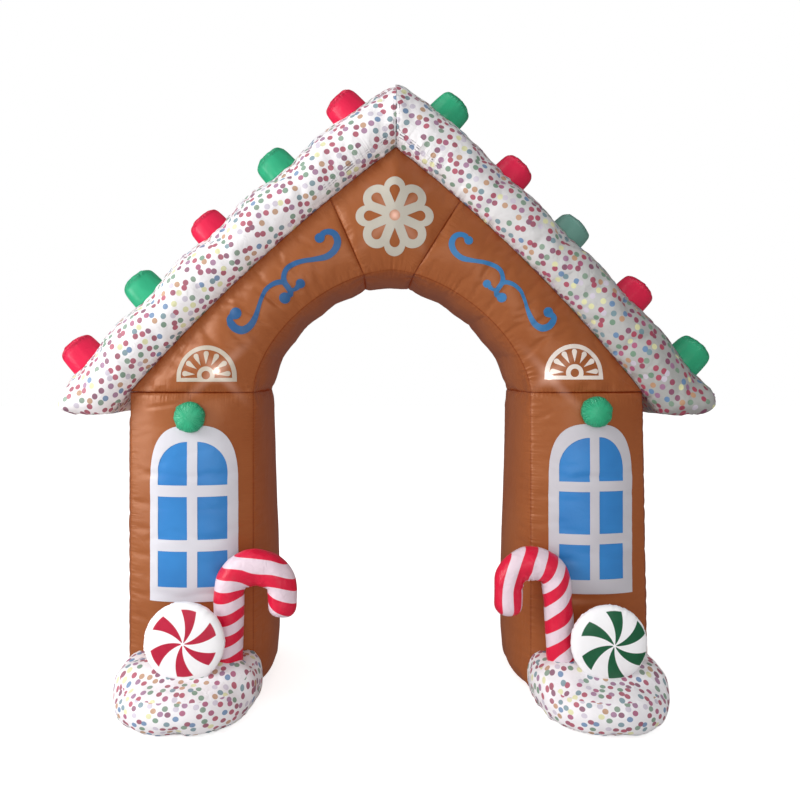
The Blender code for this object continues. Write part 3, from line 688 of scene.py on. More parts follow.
def creaseCloth(piece, creases):
    # Soft folds that the air doesn't press out: a narrow hollow with a low ridge on both sides.
    mesh = piece.data
    points = readPoints(mesh)
    normals = readNormals(mesh)
    facing = np.clip(-normals[:, 1], 0, 1)
    for crease in creases:
        start = np.array(crease["from"]) + archPlace[[0, 2]]
        run = np.array(crease["to"]) + archPlace[[0, 2]] - start
        flat = points[:, [0, 2]]
        share = np.clip(((flat - start) @ run) / (run @ run), 0, 1)
        away = np.linalg.norm(flat - start - share[:, None] * run, axis=1) / crease["width"]
        fade = np.sin(np.pi * np.clip(share * 0.9 + 0.05, 0, 1)) ** 0.5
        hollow = (1 - away**2) * np.exp(-(away**2)) * fade * crease["depth"]
        points = points - normals * (hollow * facing)[:, None]
    writePoints(mesh, points)


# The cap is the most that the air may move the cloth. Folds reach out from a seam and have a pitch along it.
chamberCloth = {
    "air": {"pressure": 3.0, "spare": 0.02, "bending": 0.6, "cap": 0.014},
    "folds": {"reach": 0.014, "pitch": 0.020, "depth": 0.0024, "slack": 0.0026, "slackPitch": 0.13},
}
# the cells across, deep and along, and the walls of the unit box that the air doesn't move
chambers = {
    "leg": {"cells": (14, 14, 96), "form": legForm, "pinned": ((2, 0), (2, 1)), "seed": 1},
    "shoulder": {"cells": (20, 14, 84), "form": shoulderForm, "pinned": ((2, 0), (2, 1), (0, 1)), "seed": 5},
    "keystone": {"cells": (20, 12, 40), "form": keystoneForm, "pinned": ((2, 0), (2, 1), (0, 1)), "seed": 9},
}
creases = {
    "leg_left": (
        {"from": (-1.20, 1.46), "to": (-0.93, 1.50), "width": 0.014, "depth": 0.004},
        {"from": (-1.16, 1.18), "to": (-0.84, 1.28), "width": 0.012, "depth": 0.003},
        {"from": (-0.93, 0.42), "to": (-0.72, 0.60), "width": 0.016, "depth": 0.004},
    ),
    "leg_right": (
        {"from": (0.74, 1.40), "to": (0.90, 1.49), "width": 0.012, "depth": 0.004},
        {"from": (0.78, 1.32), "to": (0.86, 1.46), "width": 0.012, "depth": 0.003},
        {"from": (1.20, 1.15), "to": (1.27, 1.42), "width": 0.012, "depth": 0.003},
    ),
    "shoulder_left": (
        {"from": (-0.66, 2.05), "to": (-0.56, 1.97), "width": 0.014, "depth": 0.005},
        {"from": (-1.10, 1.62), "to": (-0.98, 1.86), "width": 0.016, "depth": 0.004},
    ),
    "shoulder_right": (
        {"from": (0.86, 1.98), "to": (0.70, 1.86), "width": 0.014, "depth": 0.005},
        {"from": (1.12, 1.62), "to": (1.02, 1.80), "width": 0.016, "depth": 0.004},
    ),
    "keystone": (),
}
for node in ("leg_left", "shoulder_left", "leg_right", "shoulder_right", "keystone"):
    kind, _, side = node.partition("_")
    chamber = chambers[kind]
    piece = addGridBox(f"{kind}Cloth_{side}".rstrip("_"), chamber["cells"])
    box = readPoints(piece.data)
    writePoints(piece.data, chamber["form"](side, box))
    # The unit box may have been mapped inside out, so its faces are turned outwards.
    openPiece(piece)
    closePiece()
    sewn = seamPoints(box)
    held = sewn.copy()
    for axis, end in chamber["pinned"]:
        held |= atWall(box, axis, end)
    first, last = np.moveaxis(box[edgeEnds(piece.data)], 1, 0)
    onWall = (np.abs(first) < tiny) | (np.abs(first - 1) < tiny)
    markSharp(piece.data, (onWall & (np.abs(first - last) < tiny)).sum(axis=1) >= 2, 0.9)
    blowUp(piece, held, sewn, chamberCloth, chamber["seed"] + sideSign.get(side, 0))
    creaseCloth(piece, creases[node])
    keepAboveGround(piece.data)
    finishPiece(piece, nylonBrown, "gingerbread", node)
print(f"wall chambers made, {time.time() - startTime:.0f} s")


# ---- dotted cloth

dottedLook = {
    "thread": "#4c4350",
    "cell": 0.0410,
    "dot": 0.0140,
    "filled": 0.92,  # the share of the cells that have a dot
    "soft": 0.02,
    "cover": 0.86,
    # how far right of the middle the painted shade is full
    "paintedShadeAt": 1.35,
    "dashes": (0.50, 0.56, 0.10, 0.9),
    "colours": (
        ("#a51646", "#7d2b56", "#5680ab", "#628a6e", "#dbdaa2", "#aa1a46", "#99648a")
        + ("#ba8a62", "#981642", "#739079", "#a23668", "#678a94", "#911a48", "#c9c0cf")
    ),
    "rows": ((0.0, 0.002, 0.006, 1.0), (0.0135, 0.0008, 0.0028, 0.8)),  # two rows of stitches along a seam
    "cloud": (4.0, 2.0),
    "tucks": (55.0, 0.09, 0.013, 1.0),
    "crinkle": (15.0, 4.0, 1.2, 0.012, 0.6),
}


def dottedCloth(name, white, shaded, size=1.0, away=None):
    # Printed satin nylon: white with flat round dots about 28 mm across in muted colours, some 42 mm apart.
    # The dots follow each panel's own cut and break off at the seams.
    # It is brighter than the walls, and less shiny.
    look = dottedLook
    material, tree, shader, place, ground = newCloth(name, look, white, shaded, 0.45, sheen=0.04, ior=1.46)
    if away:
        # Painted shade: the cloth is painted greyer from the ridge towards the right eave, where the right
        # roof lies in shade.
        paintedShade = addNode(tree, "MapRange", (addNode(tree, "SeparateXYZ", (place,)), 0.0, look["paintedShadeAt"]))
        ground = addNode(tree, "Mix", {0: paintedShade, 6: ground, 7: away}, 2, data_type="RGBA")
    spread = {"Vector": addNode(tree, "UVMap", uv_map="cloth"), "Rotation": (0, 0, 0.4)}
    spread["Scale"] = (1 / look["cell"] / size,) * 3
    cells = {"Vector": addNode(tree, "Mapping", spread), "Scale": 1.0, "Randomness": 0.62}
    cells = addNode(tree, "TexVoronoi", cells, voronoi_dimensions="2D").node.outputs
    radius, soft = look["dot"] / look["cell"], look["soft"]
    disc = addNode(tree, "MapRange", (cells["Distance"], radius - soft, radius + soft, look["cover"], 0.0))
    pick = addNode(tree, "SeparateColor", (cells["Color"],)).node.outputs
    paint = addNode(tree, "ValToRGB", (pick["Red"],))
    ramp = paint.node.color_ramp
    ramp.interpolation = "CONSTANT"
    while len(ramp.elements) < len(look["colours"]):
        ramp.elements.new(1.0)
    for number, colour in enumerate(look["colours"]):
        ramp.elements[number].position = number / len(look["colours"])
        ramp.elements[number].color = linear(colour)
    hasDot = addNode(tree, "Math", (pick["Green"], look["filled"]), operation="LESS_THAN")
    dots = addNode(tree, "Math", (disc, hasDot), operation="MULTIPLY")
    printed = addNode(tree, "Mix", {0: dots, 6: ground, 7: paint}, 2, data_type="RGBA")
    tucks, seamDistance, seamSpot = addTucks(tree, look)
    rows = 0.0
    for middle, near, far, most in look["rows"]:
        off = addNode(tree, "Math", (seamDistance, middle), operation="SUBTRACT")
        off = addNode(tree, "Math", (off,), operation="ABSOLUTE")
        row = addNode(tree, "MapRange", (off, near, far, most, 0.0))
        rows = addNode(tree, "Math", (rows, row), operation="MAXIMUM")
    dashes = addNode(tree, "TexNoise", {"Vector": seamSpot, "Scale": 38.0, "Detail": 1.0})
    dashes = addNode(tree, "MapRange", (dashes, *look["dashes"]))
    stitches = addNode(tree, "Math", (rows, dashes), operation="MULTIPLY")
    colour = addNode(tree, "Mix", {0: stitches, 6: printed, 7: look["thread"]}, 2, data_type="RGBA")
    tree.links.new(colour, shader.inputs["Base Color"])
    addCrinkle(tree, shader, place, look, tucks)
    return material


dotted = {
    # Painted shade: the roof cloth is painted greyer towards the right eave; the mounds' cloth is not.
    "roof": dottedCloth("printedSatinNylonDots", "#f8f5f7", "#ebe8ea", 1.0, "#a6a6a3"),
    "mound": dottedCloth("printedSatinNylonSmallDots", "#f3f0f3", "#e6e3e6", 0.90),
}


# ---- roof cushions

roof = {
    "height": 0.292,
    "mitreStart": 0.80,
    "ridgePinch": 0.15,
    "lift": 0.0004,  # a hair off the gable, and a little more at the ridge
    "ridgeLift": 0.0006,
    "sag": {"left": 0.005, "right": 0.024},
    "endShare": -0.085,
    "scallop": {"left": 0.012, "right": 0.006},
    "first": {"left": -0.080, "right": -0.077},
    "pitch": {"left": 0.468, "right": 0.445},
    "cells": (124, 14, 14),
    "endCells": 8 / 124,  # the part of the cells that round off the eave end
    "crispCells": 2.5 / 124,
    "foldStart": {"left": 0.78, "right": 0.87},
    "foldRow": 4 / 14,
    "sewnRun": 0.985,  # the long seams are gathered up to here, and the mitre up to that height
    "sewnRise": 0.72,
    "bottomHalf": 0.353,
    "topHalf": 0.370,
    "topEdge": 0.254,
    # half sections, depth and height: round the front, and across the top
    "front": (
        ((0.353, 0.0), (0.388, 0.011), (0.428, 0.036), (0.462, 0.082))
        + ((0.468, 0.140), (0.435, 0.206), (0.370, 0.254))
    ),
    "top": (
        ((-0.370, 0.254), (-0.280, 0.281), (-0.160, 0.290), (0.0, 0.292))
        + ((0.160, 0.290), (0.280, 0.281), (0.370, 0.254))
    ),
    # the eave end: how far out, the lowest and highest cloth, and the share of the depth
    "ends": {
        "left": (
            ((0, 0, 0.292, 1), (0.050, 0.047, 0.281, 0.995), (0.097, 0.091, 0.264, 0.98))
            + ((0.131, 0.126, 0.240, 0.945), (0.150, 0.162, 0.208, 0.86))
        ),
        "right": (
            ((0, 0, 0.292, 1), (0.045, 0.047, 0.290, 0.998), (0.085, 0.090, 0.290, 0.99))
            + ((0.112, 0.118, 0.289, 0.97), (0.136, 0.142, 0.256, 0.93))
        ),
    },
    "air": {"pressure": 3.0, "spare": 0.03, "bending": 0.5, "cap": 0.014},
    "folds": {"reach": 0.018, "pitch": 0.019, "depth": 0.0075, "slack": 0.0055, "slackPitch": 0.11},
    "seed": 21,
}


def smoothLine(corners, count=160):
    # An even run of points along a smooth curve through the corners, and its length.
    corners = np.array(corners, dtype=float)
    padded = np.vstack((2 * corners[0] - corners[1], corners, 2 * corners[-1] - corners[-2]))
    line = []
    for i in range(1, len(padded) - 2):
        for t in np.linspace(0, 1, 12, endpoint=False):
            p0, p1, p2, p3 = padded[i - 1 : i + 3]
            curve = 2 * p1 + (p2 - p0) * t + (2 * p0 - 5 * p1 + 4 * p2 - p3) * t**2
            line.append(0.5 * (curve + (3 * p1 - p0 - 3 * p2 + p3) * t**3))
    line = np.array(line + [corners[-1]])
    run = runAlong(line)
    even = np.linspace(0, run[-1], count)
    return np.stack([np.interp(even, run, line[:, k]) for k in range(line.shape[1])], axis=1), run[-1]


frontLine, frontLength = smoothLine(roof["front"])
topLine, topLength = smoothLine(roof["top"])


def along(line, share):
    spots = np.linspace(0, 1, len(line))
    return np.stack([np.interp(share, spots, line[:, k]) for k in range(line.shape[1])], axis=1)


def gableSwell(side, share):
    waves = (share * gableLength(side) - roof["first"][side]) / roof["pitch"][side]
    sag = roof["sag"][side] * np.sin(np.pi * np.maximum(share, 0))
    return -roof["scallop"][side] * np.cos(2 * np.pi * waves) - sag


def roofStation(side, box):
    # The place, upward direction, heights and depth of the cushion's section at each point.
    run = box[:, 0]
    ends = np.array(roof["ends"][side])
    inEnd = np.clip(1 - run / roof["endCells"], 0, 1) * (len(ends) - 1)
    out, low, high, deep = (np.interp(inEnd, np.arange(len(ends)), ends[:, k]) for k in range(4))
    share = np.clip((run - roof["endCells"]) / (1 - roof["endCells"]), 0, 1)
    share = roof["endShare"] + (1 - roof["endShare"]) * share
    normal = gableNormal(side)
    outward = unit(walls["eaves"][side] - walls["apex"])
    base = gablePoint(side, share) + normal * roof["lift"] + outward * out[:, None]
    turned = np.maximum((share - roof["mitreStart"]) / (1 - roof["mitreStart"]), 0)
    lean = math.atan2(normal[0], normal[2])
    upX = np.sin(lean * (1 - turned))
    upward = np.stack((upX, 0 * upX, np.sqrt(1 - upX**2)), axis=1)
    swell = gableSwell(side, share) * (1 - turned)
    full = (roof["height"] + swell) / np.cos(turned * abs(lean)) * (1 - roof["ridgePinch"] * turned**3)
    high = np.where(inEnd > 0, high, full)
    base[atWall(box, 0, 1)] = walls["apex"] + np.array((sideSign[side] * walls["gap"], 0, roof["ridgeLift"]))
    return base, upward, low, high, deep, share, out


def roofForm(side, box):
    base, upward, low, high, deep, _, _ = roofStation(side, box)
    b, c = tighter(box[:, 1]), tighter(box[:, 2], 0.25)
    front = along(frontLine, c)
    top = along(topLine, b)
    bottomY = (2 * b - 1) * roof["bottomHalf"]
    corner = (1 - b) * -roof["topHalf"] + b * roof["topHalf"]
    y = (1 - c) * bottomY + c * top[:, 0] + (2 * b - 1) * front[:, 0] - ((1 - c) * bottomY + c * corner)
    height = c * top[:, 1] + front[:, 1] - c * roof["topEdge"]
    height = low + (high - low) * height / roof["height"]
    return base + upward * height[:, None] + aside * (y * deep)[:, None] + archPlace


def roofUv(side, box):
    # Each panel's own cut: along the slope and round the section, in metres.
    _, upward, low, high, _, share, out = roofStation(side, box)
    steps = np.stack((np.linspace(0, 1, 400), np.full(400, 0.5), np.ones(400)), axis=1)
    arc = np.interp(box[:, 0], steps[:, 0], runAlong(roofForm(side, steps)))
    b, c = tighter(box[:, 1]), tighter(box[:, 2], 0.25)
    height = low + (high - low) * along(frontLine, c)[:, 1] / roof["height"]
    normal = gableNormal(side)
    downSlope = np.array((sideSign[side] * normal[2], 0, -abs(normal[0])))
    straight = share * gableLength(side) - out - height * (upward @ downSlope)
    frontRun = np.linspace(0, frontLength, len(frontLine))
    upFront = np.interp(height * (upward @ normal), frontLine[:, 1], frontRun)
    acrossTop = (b - 0.5) * topLength
    pairs = ((acrossTop, height), (straight, upFront), (arc, acrossTop))
    return [np.stack(pair, axis=1) for pair in pairs]


for side in sides:
    piece = addGridBox(f"roofCloth_{side}", roof["cells"])
    box = readPoints(piece.data)
    writePoints(piece.data, roofForm(side, box))
    piece.data.uv_layers.active.name = "cloth"
    layUv(piece.data, box, roofUv(side, box))
    openPiece(piece)
    closePiece()
    longSeams = (atWall(box, 1, 0) | atWall(box, 1, 1)) & (atWall(box, 2, 0) | atWall(box, 2, 1))
    mitre = atWall(box, 0, 1)
    sewn = longSeams | (mitre & seamPoints(box))
    # Near the ridge the front is folded along one line, and the cloth over the very top has no seam.
    fold = atWall(box, 1, 0) & atWall(box, 2, roof["foldRow"]) & (box[:, 0] > roof["foldStart"][side])
    crisp = (box[:, 0] < roof["crispCells"]) & (side == "right")
    held = sewn | mitre | atWall(box, 2, 0) | fold | crisp
    gathered = (longSeams & (box[:, 0] < roof["sewnRun"])) | fold
    gathered |= sewn & mitre & (box[:, 2] < roof["sewnRise"])
    ring = (sewn & mitre) | (atWall(box, 0, 0) & seamPoints(box) & crisp)
    markSharp(piece.data, ring[edgeEnds(piece.data)].all(axis=1))
    blowUp(piece, held, gathered, roof, roof["seed"] + sideSign[side])
    finishPiece(piece, dotted["roof"], "dotted_white", f"roof_{side}", angle=70)
print(f"roof cushions made, {time.time() - startTime:.0f} s")


# ---- gumdrops

# Rows are height and radius as shares, from the foot up over the rim to the top.
gumdrop = {
    "roof": {
        "radius": 0.098,
        "height": 0.131,
        "rows": (
            ((0.0, 1.0), (0.10, 1.01), (0.24, 1.0), (0.42, 0.99), (0.57, 0.975), (0.70, 0.95), (0.79, 0.90))
            + ((0.86, 0.825), (0.915, 0.72), (0.955, 0.57), (0.982, 0.38), (0.997, 0.17))
        ),
        "rim": (0.84, 0.12),
        "gather": 0.0027,
    },
    "wall": {
        "radius": 0.0745,
        "height": 0.090,
        "rows": (
            ((0.0, 0.80), (0.14, 0.93), (0.30, 1.02), (0.45, 1.05), (0.58, 1.0), (0.70, 0.91))
            + ((0.80, 0.79), (0.88, 0.64), (0.94, 0.47), (0.98, 0.28), (0.998, 0.13))
        ),
        "rim": (0.58, 0.24),
        "gather": 0.0034,
    },
    "folds": {"finePitch": 0.11, "broadPitch": 0.33, "rimReach": 0.14, "footReach": 0.10, "plainTop": 0.35},
    "ringCorners": 44,
    "forward": -0.22,
    "overWindow": {"left": (-0.978, -0.435, 1.418), "right": (1.008, -0.435, 1.4435)},
    "foot": 0.03,  # the height over which the foot is let down onto the cloth
    # from the eave up: the colour, how tall each one stands, and how far it sits from the even spacing
    "colours": {
        "left": ("red", "green", "red", "green", "red"),
        "right": ("green", "red", "teal", "red", "green"),
    },
    "stretch": {"left": (1.11, 1.07, 0.90, 1.01, 1.07), "right": (1.04, 0.90, 0.78, 0.89, 1.08)},
    "slide": {
        "left": (-0.003, -0.006, -0.009, -0.006, -0.005),
        "right": (0.004, -0.012, 0.003, -0.018, -0.002),
    },
    "cloud": (9.0, 3.0),
    "crinkle": (26.0, 4.0, 0.8, 0.005, 0.4),
}


def candyCloth(name, lit, shaded):
    # Satin nylon, dyed through: strong colour with a soft broad highlight and fine folds round the rim.
    material, tree, shader, place, dye = newCloth(name, gumdrop, lit, shaded, 0.32, sheen=0.06, sheenTint=lit)
    tree.links.new(dye, shader.inputs["Base Color"])
    foldSpot = addNode(tree, "Attribute", out="Vector", attribute_name="foldSpot")
    rimFold = addNode(tree, "Attribute", out="Fac", attribute_name="rimFold")
    gathers = addNode(tree, "TexNoise", {"Vector": foldSpot, "Scale": 1.0, "Detail": 3.0, "Distortion": 0.5})
    height = addNode(tree, "Math", (gathers, rimFold), operation="MULTIPLY")
    rim = addNode(tree, "Bump", {"Height": height, "Distance": 0.022, "Strength": 1.0})
    addCrinkle(tree, shader, place, gumdrop, rim)
    return material


candy = {
    "red": (candyCloth("satinNylonRed", "#ee2050", "#d61442"), "candy_red"),
    "green": (candyCloth("satinNylonGreen", "#34b686", "#259b6d"), "candy_green"),
    "teal": (candyCloth("satinNylonTeal", "#75a496", "#609085"), "teal_green"),
}


def modelGumdrop(name, look):
    # A circle extruded upwards row by row and drawn in over the rim.
    radius, height, rows = look["radius"], look["height"], look["rows"]
    rimLevel, rimWidth = look["rim"]
    piece = addRing(name, gumdrop["ringCorners"], radius * rows[0][1])
    openPiece(piece)
    for (low, lowRadius), (high, highRadius) in zip(rows, rows[1:]):
        extrudeRow((0, 0, (high - low) * height), highRadius / lowRadius, (0, 0, high * height))
    extrudeRow((0, 0, 0.002 * height))
    bpy.ops.mesh.merge(type="CENTER")
    bpy.ops.object.mode_set(mode="OBJECT")
    subdivideOnce(piece)
    points = readPoints(piece.data)
    turn = np.arctan2(points[:, 1], points[:, 0])
    level = points[:, 2] / height
    ring = np.stack((np.cos(turn), np.sin(turn), 0 * turn), axis=1)
    folds = gumdrop["folds"]
    fine = np.abs(noiseAt(ring, folds["finePitch"], 3))
    broad = noiseAt(ring, folds["broadPitch"], 4)
    rim = np.exp(-(((level - rimLevel) / folds["rimReach"]) ** 2))
    foot = np.exp(-((level / folds["footReach"]) ** 2))
    depth = rim * (1.3 - 3.4 * fine) * (0.7 + broad) + foot * (0.8 - 2.5 * fine) + 0.9 * broad
    depth *= look["gather"]
    # The middle of the top stays plain.
    depth *= np.clip((np.hypot(points[:, 0], points[:, 1]) / radius - folds["plainTop"]) / 0.4, 0, 1)
    writePoints(piece.data, points + readNormals(piece.data) * depth[:, None])
    writeField(piece.data, "rimFold", np.exp(-(((level - rimLevel) / rimWidth) ** 2)))
    writeField(piece.data, "foldSpot", ring * 11 + np.array((0, 0, 1)) * (3.0 * level)[:, None])
    return piece


def groundOf(name):
    mesh = bpy.data.objects[name].data
    faces = [list(face.vertices) for face in mesh.polygons]
    return BVHTree.FromPolygons([point.co.copy() for point in mesh.vertices], faces)


def placeGumdrop(model, name, seat, axis, twist, ground, stretch=1.0):
    # A copy turned to its place, with its foot let down onto the cloth that carries it.
    makeActive(model)
    bpy.ops.object.duplicate()
    piece = nameActive(name)
    turn = Vector(axis).to_track_quat("Z", "Y").to_matrix().to_4x4()
    taller = Matrix.Diagonal((1, 1, stretch, 1))
    piece.data.transform(Matrix.Translation(Vector(seat)) @ turn @ Matrix.Rotation(twist, 4, "Z") @ taller)
    points = readPoints(piece.data)
    axis = np.array(axis) / np.linalg.norm(axis)
    level = (points - np.array(seat)) @ axis
    for index in np.nonzero(level < gumdrop["foot"])[0]:
        start = Vector(points[index] + axis * (0.30 - level[index]))
        hit = ground.ray_cast(start, Vector(-axis))
        if hit[0] is not None:
            drop = (Vector(points[index]) - hit[0]).dot(Vector(axis)) - 0.001
            points[index] -= axis * drop * max(0.0, 1 - max(level[index], 0) / gumdrop["foot"])
    writePoints(piece.data, points)
    openPiece(piece)
    bpy.ops.mesh.fill_holes(sides=0)
    closePiece()
    return piece


roofDrop = modelGumdrop("gumdropModel", gumdrop["roof"])
wallDrop = modelGumdrop("wallGumdropModel", gumdrop["wall"])
for side in sides:
    ground = groundOf(f"roofCloth_{side}")
    normal = gableNormal(side)
    for number, colour in enumerate(gumdrop["colours"][side]):
        run = roof["first"][side] + roof["pitch"][side] * number + gumdrop["slide"][side][number]
        share = run / gableLength(side)
        seat = gablePoint(side, share) + normal * (roof["height"] + gableSwell(side, share))
        seat = seat + archPlace + np.array((0, gumdrop["forward"], 0))
        name = f"gumdropCloth_{side}_{number + 1}"
        stretch = gumdrop["stretch"][side][number]
        drop = placeGumdrop(roofDrop, name, seat, normal, number * 1.3, ground, stretch)
        finishPiece(drop, *candy[colour], f"roof_gumdrop_{side}_{number + 1}")
    seat = np.array(gumdrop["overWindow"][side]) + archPlace
    ground = groundOf(f"legCloth_{side}")
    drop = placeGumdrop(wallDrop, f"wallGumdropCloth_{side}", seat, (0, -1, 0), 0.7, ground)
    finishPiece(drop, *candy["green"], f"wall_gumdrop_{side}")
for model in (roofDrop, wallDrop):
    bpy.data.objects.remove(model, do_unlink=True)
print(f"gumdrops made, {time.time() - startTime:.0f} s")


# ---- mounds

mound = {
    "middleY": -0.38,
    "front": 0.44,
    "back": 0.06,
    "legFront": -0.40,
    "squareness": 2.5,
    "frontHeight": 0.185,
    "step": 0.062,
    "stepY": -0.69,
    "stepRun": 0.15,
    "sideCut": (0.38, 0.22),  # across and up, how large the side's cut is for the printed dots
    "feet": {"left": (-0.978, 0.343), "right": (1.007, 0.318)},
    # share of the outline and of the height: in under the foot, up the side to the rim, and in over the top
    "rows": (
        ((0.80, 0.0), (0.86, 0.015), (0.90, 0.05), (0.945, 0.13), (0.975, 0.24), (0.994, 0.38), (1.0, 0.52))
        + ((0.99, 0.66), (0.965, 0.79), (0.925, 0.885), (0.88, 0.93), (0.82, 0.975))
        + tuple((share, 1.0) for share in (0.76, 0.69, 0.62, 0.54, 0.46, 0.37, 0.28, 0.19, 0.10))
    ),
    "rimRow": 9,
    "air": {"pressure": 3.0, "spare": 0.03, "bending": 0.5, "cap": 0.012},
    "folds": {"reach": 0.016, "pitch": 0.018, "depth": 0.006, "slack": 0.007, "slackPitch": 0.10},
    "seed": 41,
}


def moundHeight(y):
    # Low in front, with a soft step up towards the leg.
    rise = np.clip((y - mound["stepY"]) / mound["stepRun"], 0, 1)
    return mound["frontHeight"] + mound["step"] * rise**2 * (3 - 2 * rise)


def modelMound(side):
    # A ring extruded up over the side and in over the top, each row one unit higher than the last.
    rows = mound["rows"]
    piece = addRing(f"moundCloth_{side}", 88, 1)
    openPiece(piece)
    bpy.ops.transform.resize(value=(rows[0][0], rows[0][0], 1), center_override=(0, 0, 0))
    for number, ((lowScale, _), (nextScale, _)) in enumerate(zip(rows, rows[1:])):
        extrudeRow((0, 0, 1), nextScale / lowScale, (0, 0, number + 1))
    extrudeRow((0, 0, 1))
    bpy.ops.mesh.merge(type="CENTER")
    bpy.ops.mesh.select_all(action="SELECT")
    bpy.ops.mesh.fill_holes(sides=0)
    bpy.ops.object.mode_set(mode="OBJECT")
    return piece


def rounded(wave):
    return np.sign(wave) * np.abs(wave) ** (2 / mound["squareness"])


def moundUv(mesh, row, turn, scales, heights):
    # The side is one strip round the foot and the top one flat cut, sewn together at the rim.
    mesh.uv_layers.active.name = "cloth"
    corners, starts, sizes = faceCorners(mesh)
    lowest = np.repeat(np.minimum.reduceat(row[corners], starts), sizes)
    points = readPoints(mesh)
    rim = row == mound["rimRow"]
    order = np.argsort(turn[rim])
    ring = points[rim][order]
    run = runAlong(ring)
    around = np.interp(turn, turn[rim][order], run)
    total = run[-1] + np.linalg.norm(ring[0] - ring[-1])
    wide, tall = mound["sideCut"]
    profile = np.append(0, np.cumsum(np.hypot(np.diff(scales) * wide, np.diff(heights) * tall)))
    sideUv = np.stack((around[corners], profile[row[corners]]), axis=1)
    firstOfFace = np.repeat(around[corners[starts]], sizes)
    sideUv[:, 0] += np.where(sideUv[:, 0] - firstOfFace < -total / 2, total, 0)
    sideUv[:, 0] -= np.where(sideUv[:, 0] - firstOfFace > total / 2, total, 0)
    topUv = points[corners][:, :2] + np.array((3.0, 5.0))
    uv = np.where((lowest >= mound["rimRow"])[:, None], topUv, sideUv + np.array((11.0, 2.0)))
    mesh.uv_layers.active.uv.foreach_set("vector", uv.ravel())


for side in sides:
    piece = modelMound(side)
    raw = readPoints(piece.data)
    row = np.rint(raw[:, 2]).astype(int)
    scales, heights = (np.append([r[k] for r in mound["rows"]], float(k)) for k in (0, 1))
    turn = np.arctan2(raw[:, 1], raw[:, 0])
    across, deep = rounded(np.cos(turn)), rounded(np.sin(turn))
    middle, half = mound["feet"][side]
    y = mound["middleY"] + np.where(deep > 0, mound["back"], mound["front"]) * deep * scales[row]
    spots = np.stack((middle + half * across * scales[row], y, heights[row] * moundHeight(y)), axis=1)
    writePoints(piece.data, spots + archPlace)
    openPiece(piece)
    closePiece()
    moundUv(piece.data, row, turn, scales, heights)
    atLeg = readPoints(piece.data)[:, 1] > archPlace[1] + mound["legFront"]
    gathered = (row == 1) | ((row == mound["rimRow"]) & atLeg)
    blowUp(piece, (row < 2) | atLeg, gathered, mound, mound["seed"] + sideSign[side])
    keepAboveGround(piece.data)
    cutBy(piece, bpy.data.objects[f"legCloth_{side}"])
    finishPiece(piece, dotted["mound"], "dotted_white", f"mound_{side}", angle=70)
print(f"mounds made, {time.time() - startTime:.0f} s")


# ---- candy canes

cane = {
    "left": {"foot": -0.787, "top": -0.782, "hook": -0.652, "turnHeight": 0.576, "drop": 0.062},
    "right": {"foot": 0.834, "top": 0.810, "hook": 0.692, "turnHeight": 0.602, "drop": 0.085},
    "radius": {"left": 0.0725, "right": 0.070},
    "slump": {"left": 0.032, "right": 0.020},
    "y": -0.485,
    "footHeight": 0.225,
    "rounding": (0.30, 0.55, 0.75, 0.89, 0.97),
    "roundness": 2.6,
    "endLength": 0.85,  # the round end, as a share of the radius
    "stemSteps": 16,
    "dropSteps": 3,
    "cloud": (10.0, 2.0),
    "crinkle": (24.0, 4.0, 1.0, 0.010, 0.6),
    "folds": {"reach": 0.024, "pitch": 0.017, "depth": 0.0060, "slack": 0.0050, "slackPitch": 0.06},
    "seed": 61,
}
# Where each printed band ends, in millimetres across and up, one band after the other along the cane.
bandEdges = {
    "left": (
        (-755, 746, -672, 748, -576, 735, -504, 707),
        (-810, 692, -756, 698, -669, 688, -574, 673, -527, 661, -467, 638),
        (-825, 643, -755, 644, -714, 644, -682, 625, -587, 619, -526, 606, -489, 597, -459, 582),
        (-845, 584, -814, 583, -765, 583, -722, 590, -705, 599, -587, 572, -566, 556, -526, 547, -489, 537)
        + (-462, 526),
        (-855, 526, -813, 529, -765, 538, -731, 551, -711, 566, -593, 532, -578, 513, -557, 496, -528, 481)
        + (-493, 467),
        (-821, 471, -783, 476, -747, 487, -722, 503, -716, 507),
        (-796, 422, -765, 430, -735, 444, -719, 460),
        (-783, 378, -756, 382, -731, 392, -718, 404),
        (-793, 322, -756, 332, -731, 344, -720, 360),
        (-813, 265, -774, 272, -747, 283, -720, 301),
    ),
    "right": (
        (806, 284, 834, 302, 859, 323),
        (767, 316, 806, 344, 834, 366, 860, 387),
        (762, 381, 797, 401, 834, 426, 868, 452, 886, 482),
        (758, 446, 779, 466, 814, 496, 845, 527, 876, 557),
        (754, 511, 787, 537, 819, 567, 845, 603, 863, 642),
        (748, 573, 778, 596, 805, 622, 828, 654, 841, 686),
        (738, 614, 752, 638, 781, 670, 797, 706, 813, 738),
        (690, 645, 724, 650, 730, 677, 743, 722, 766, 770),
        (670, 653, 675, 682, 691, 740, 721, 784, 629, 600, 632, 580, 632, 520, 631, 493),
        (656, 781, 630, 739, 614, 689, 601, 635, 588, 598, 590, 559, 589, 501, 592, 469),
        (587, 747, 568, 712, 549, 658, 537, 595, 535, 537, 536, 497, 544, 465),
    ),
}


def bandCount(side, x, z):
    # A smooth surface through the printed edges, so that whole numbers fall on them.
    rows = [np.array(edge).reshape(-1, 2) for edge in bandEdges[side]]
    spots = np.vstack(rows) / 1000
    counts = np.repeat(np.arange(len(rows), dtype=float), [len(row) for row in rows])

    def spread(a, b):
        square = ((a[:, None, :] - b[None, :, :]) ** 2).sum(axis=2)
        return 0.5 * square * np.log(square + 1e-9)

    n = len(spots)
    plane = np.hstack((np.ones((n, 1)), spots))
    system = np.zeros((n + 3, n + 3))
    system[:n, :n] = spread(spots, spots) + np.eye(n) * 0.002
    system[:n, n:] = plane
    system[n:, :n] = plane.T
    weights = np.linalg.solve(system, np.append(counts, (0, 0, 0)))
    here = np.stack((x, z), axis=1)
    flat = np.hstack((np.ones((len(here), 1)), here)) @ weights[n:]
    return (side == "right") + spread(here, spots) @ weights[:n] + flat


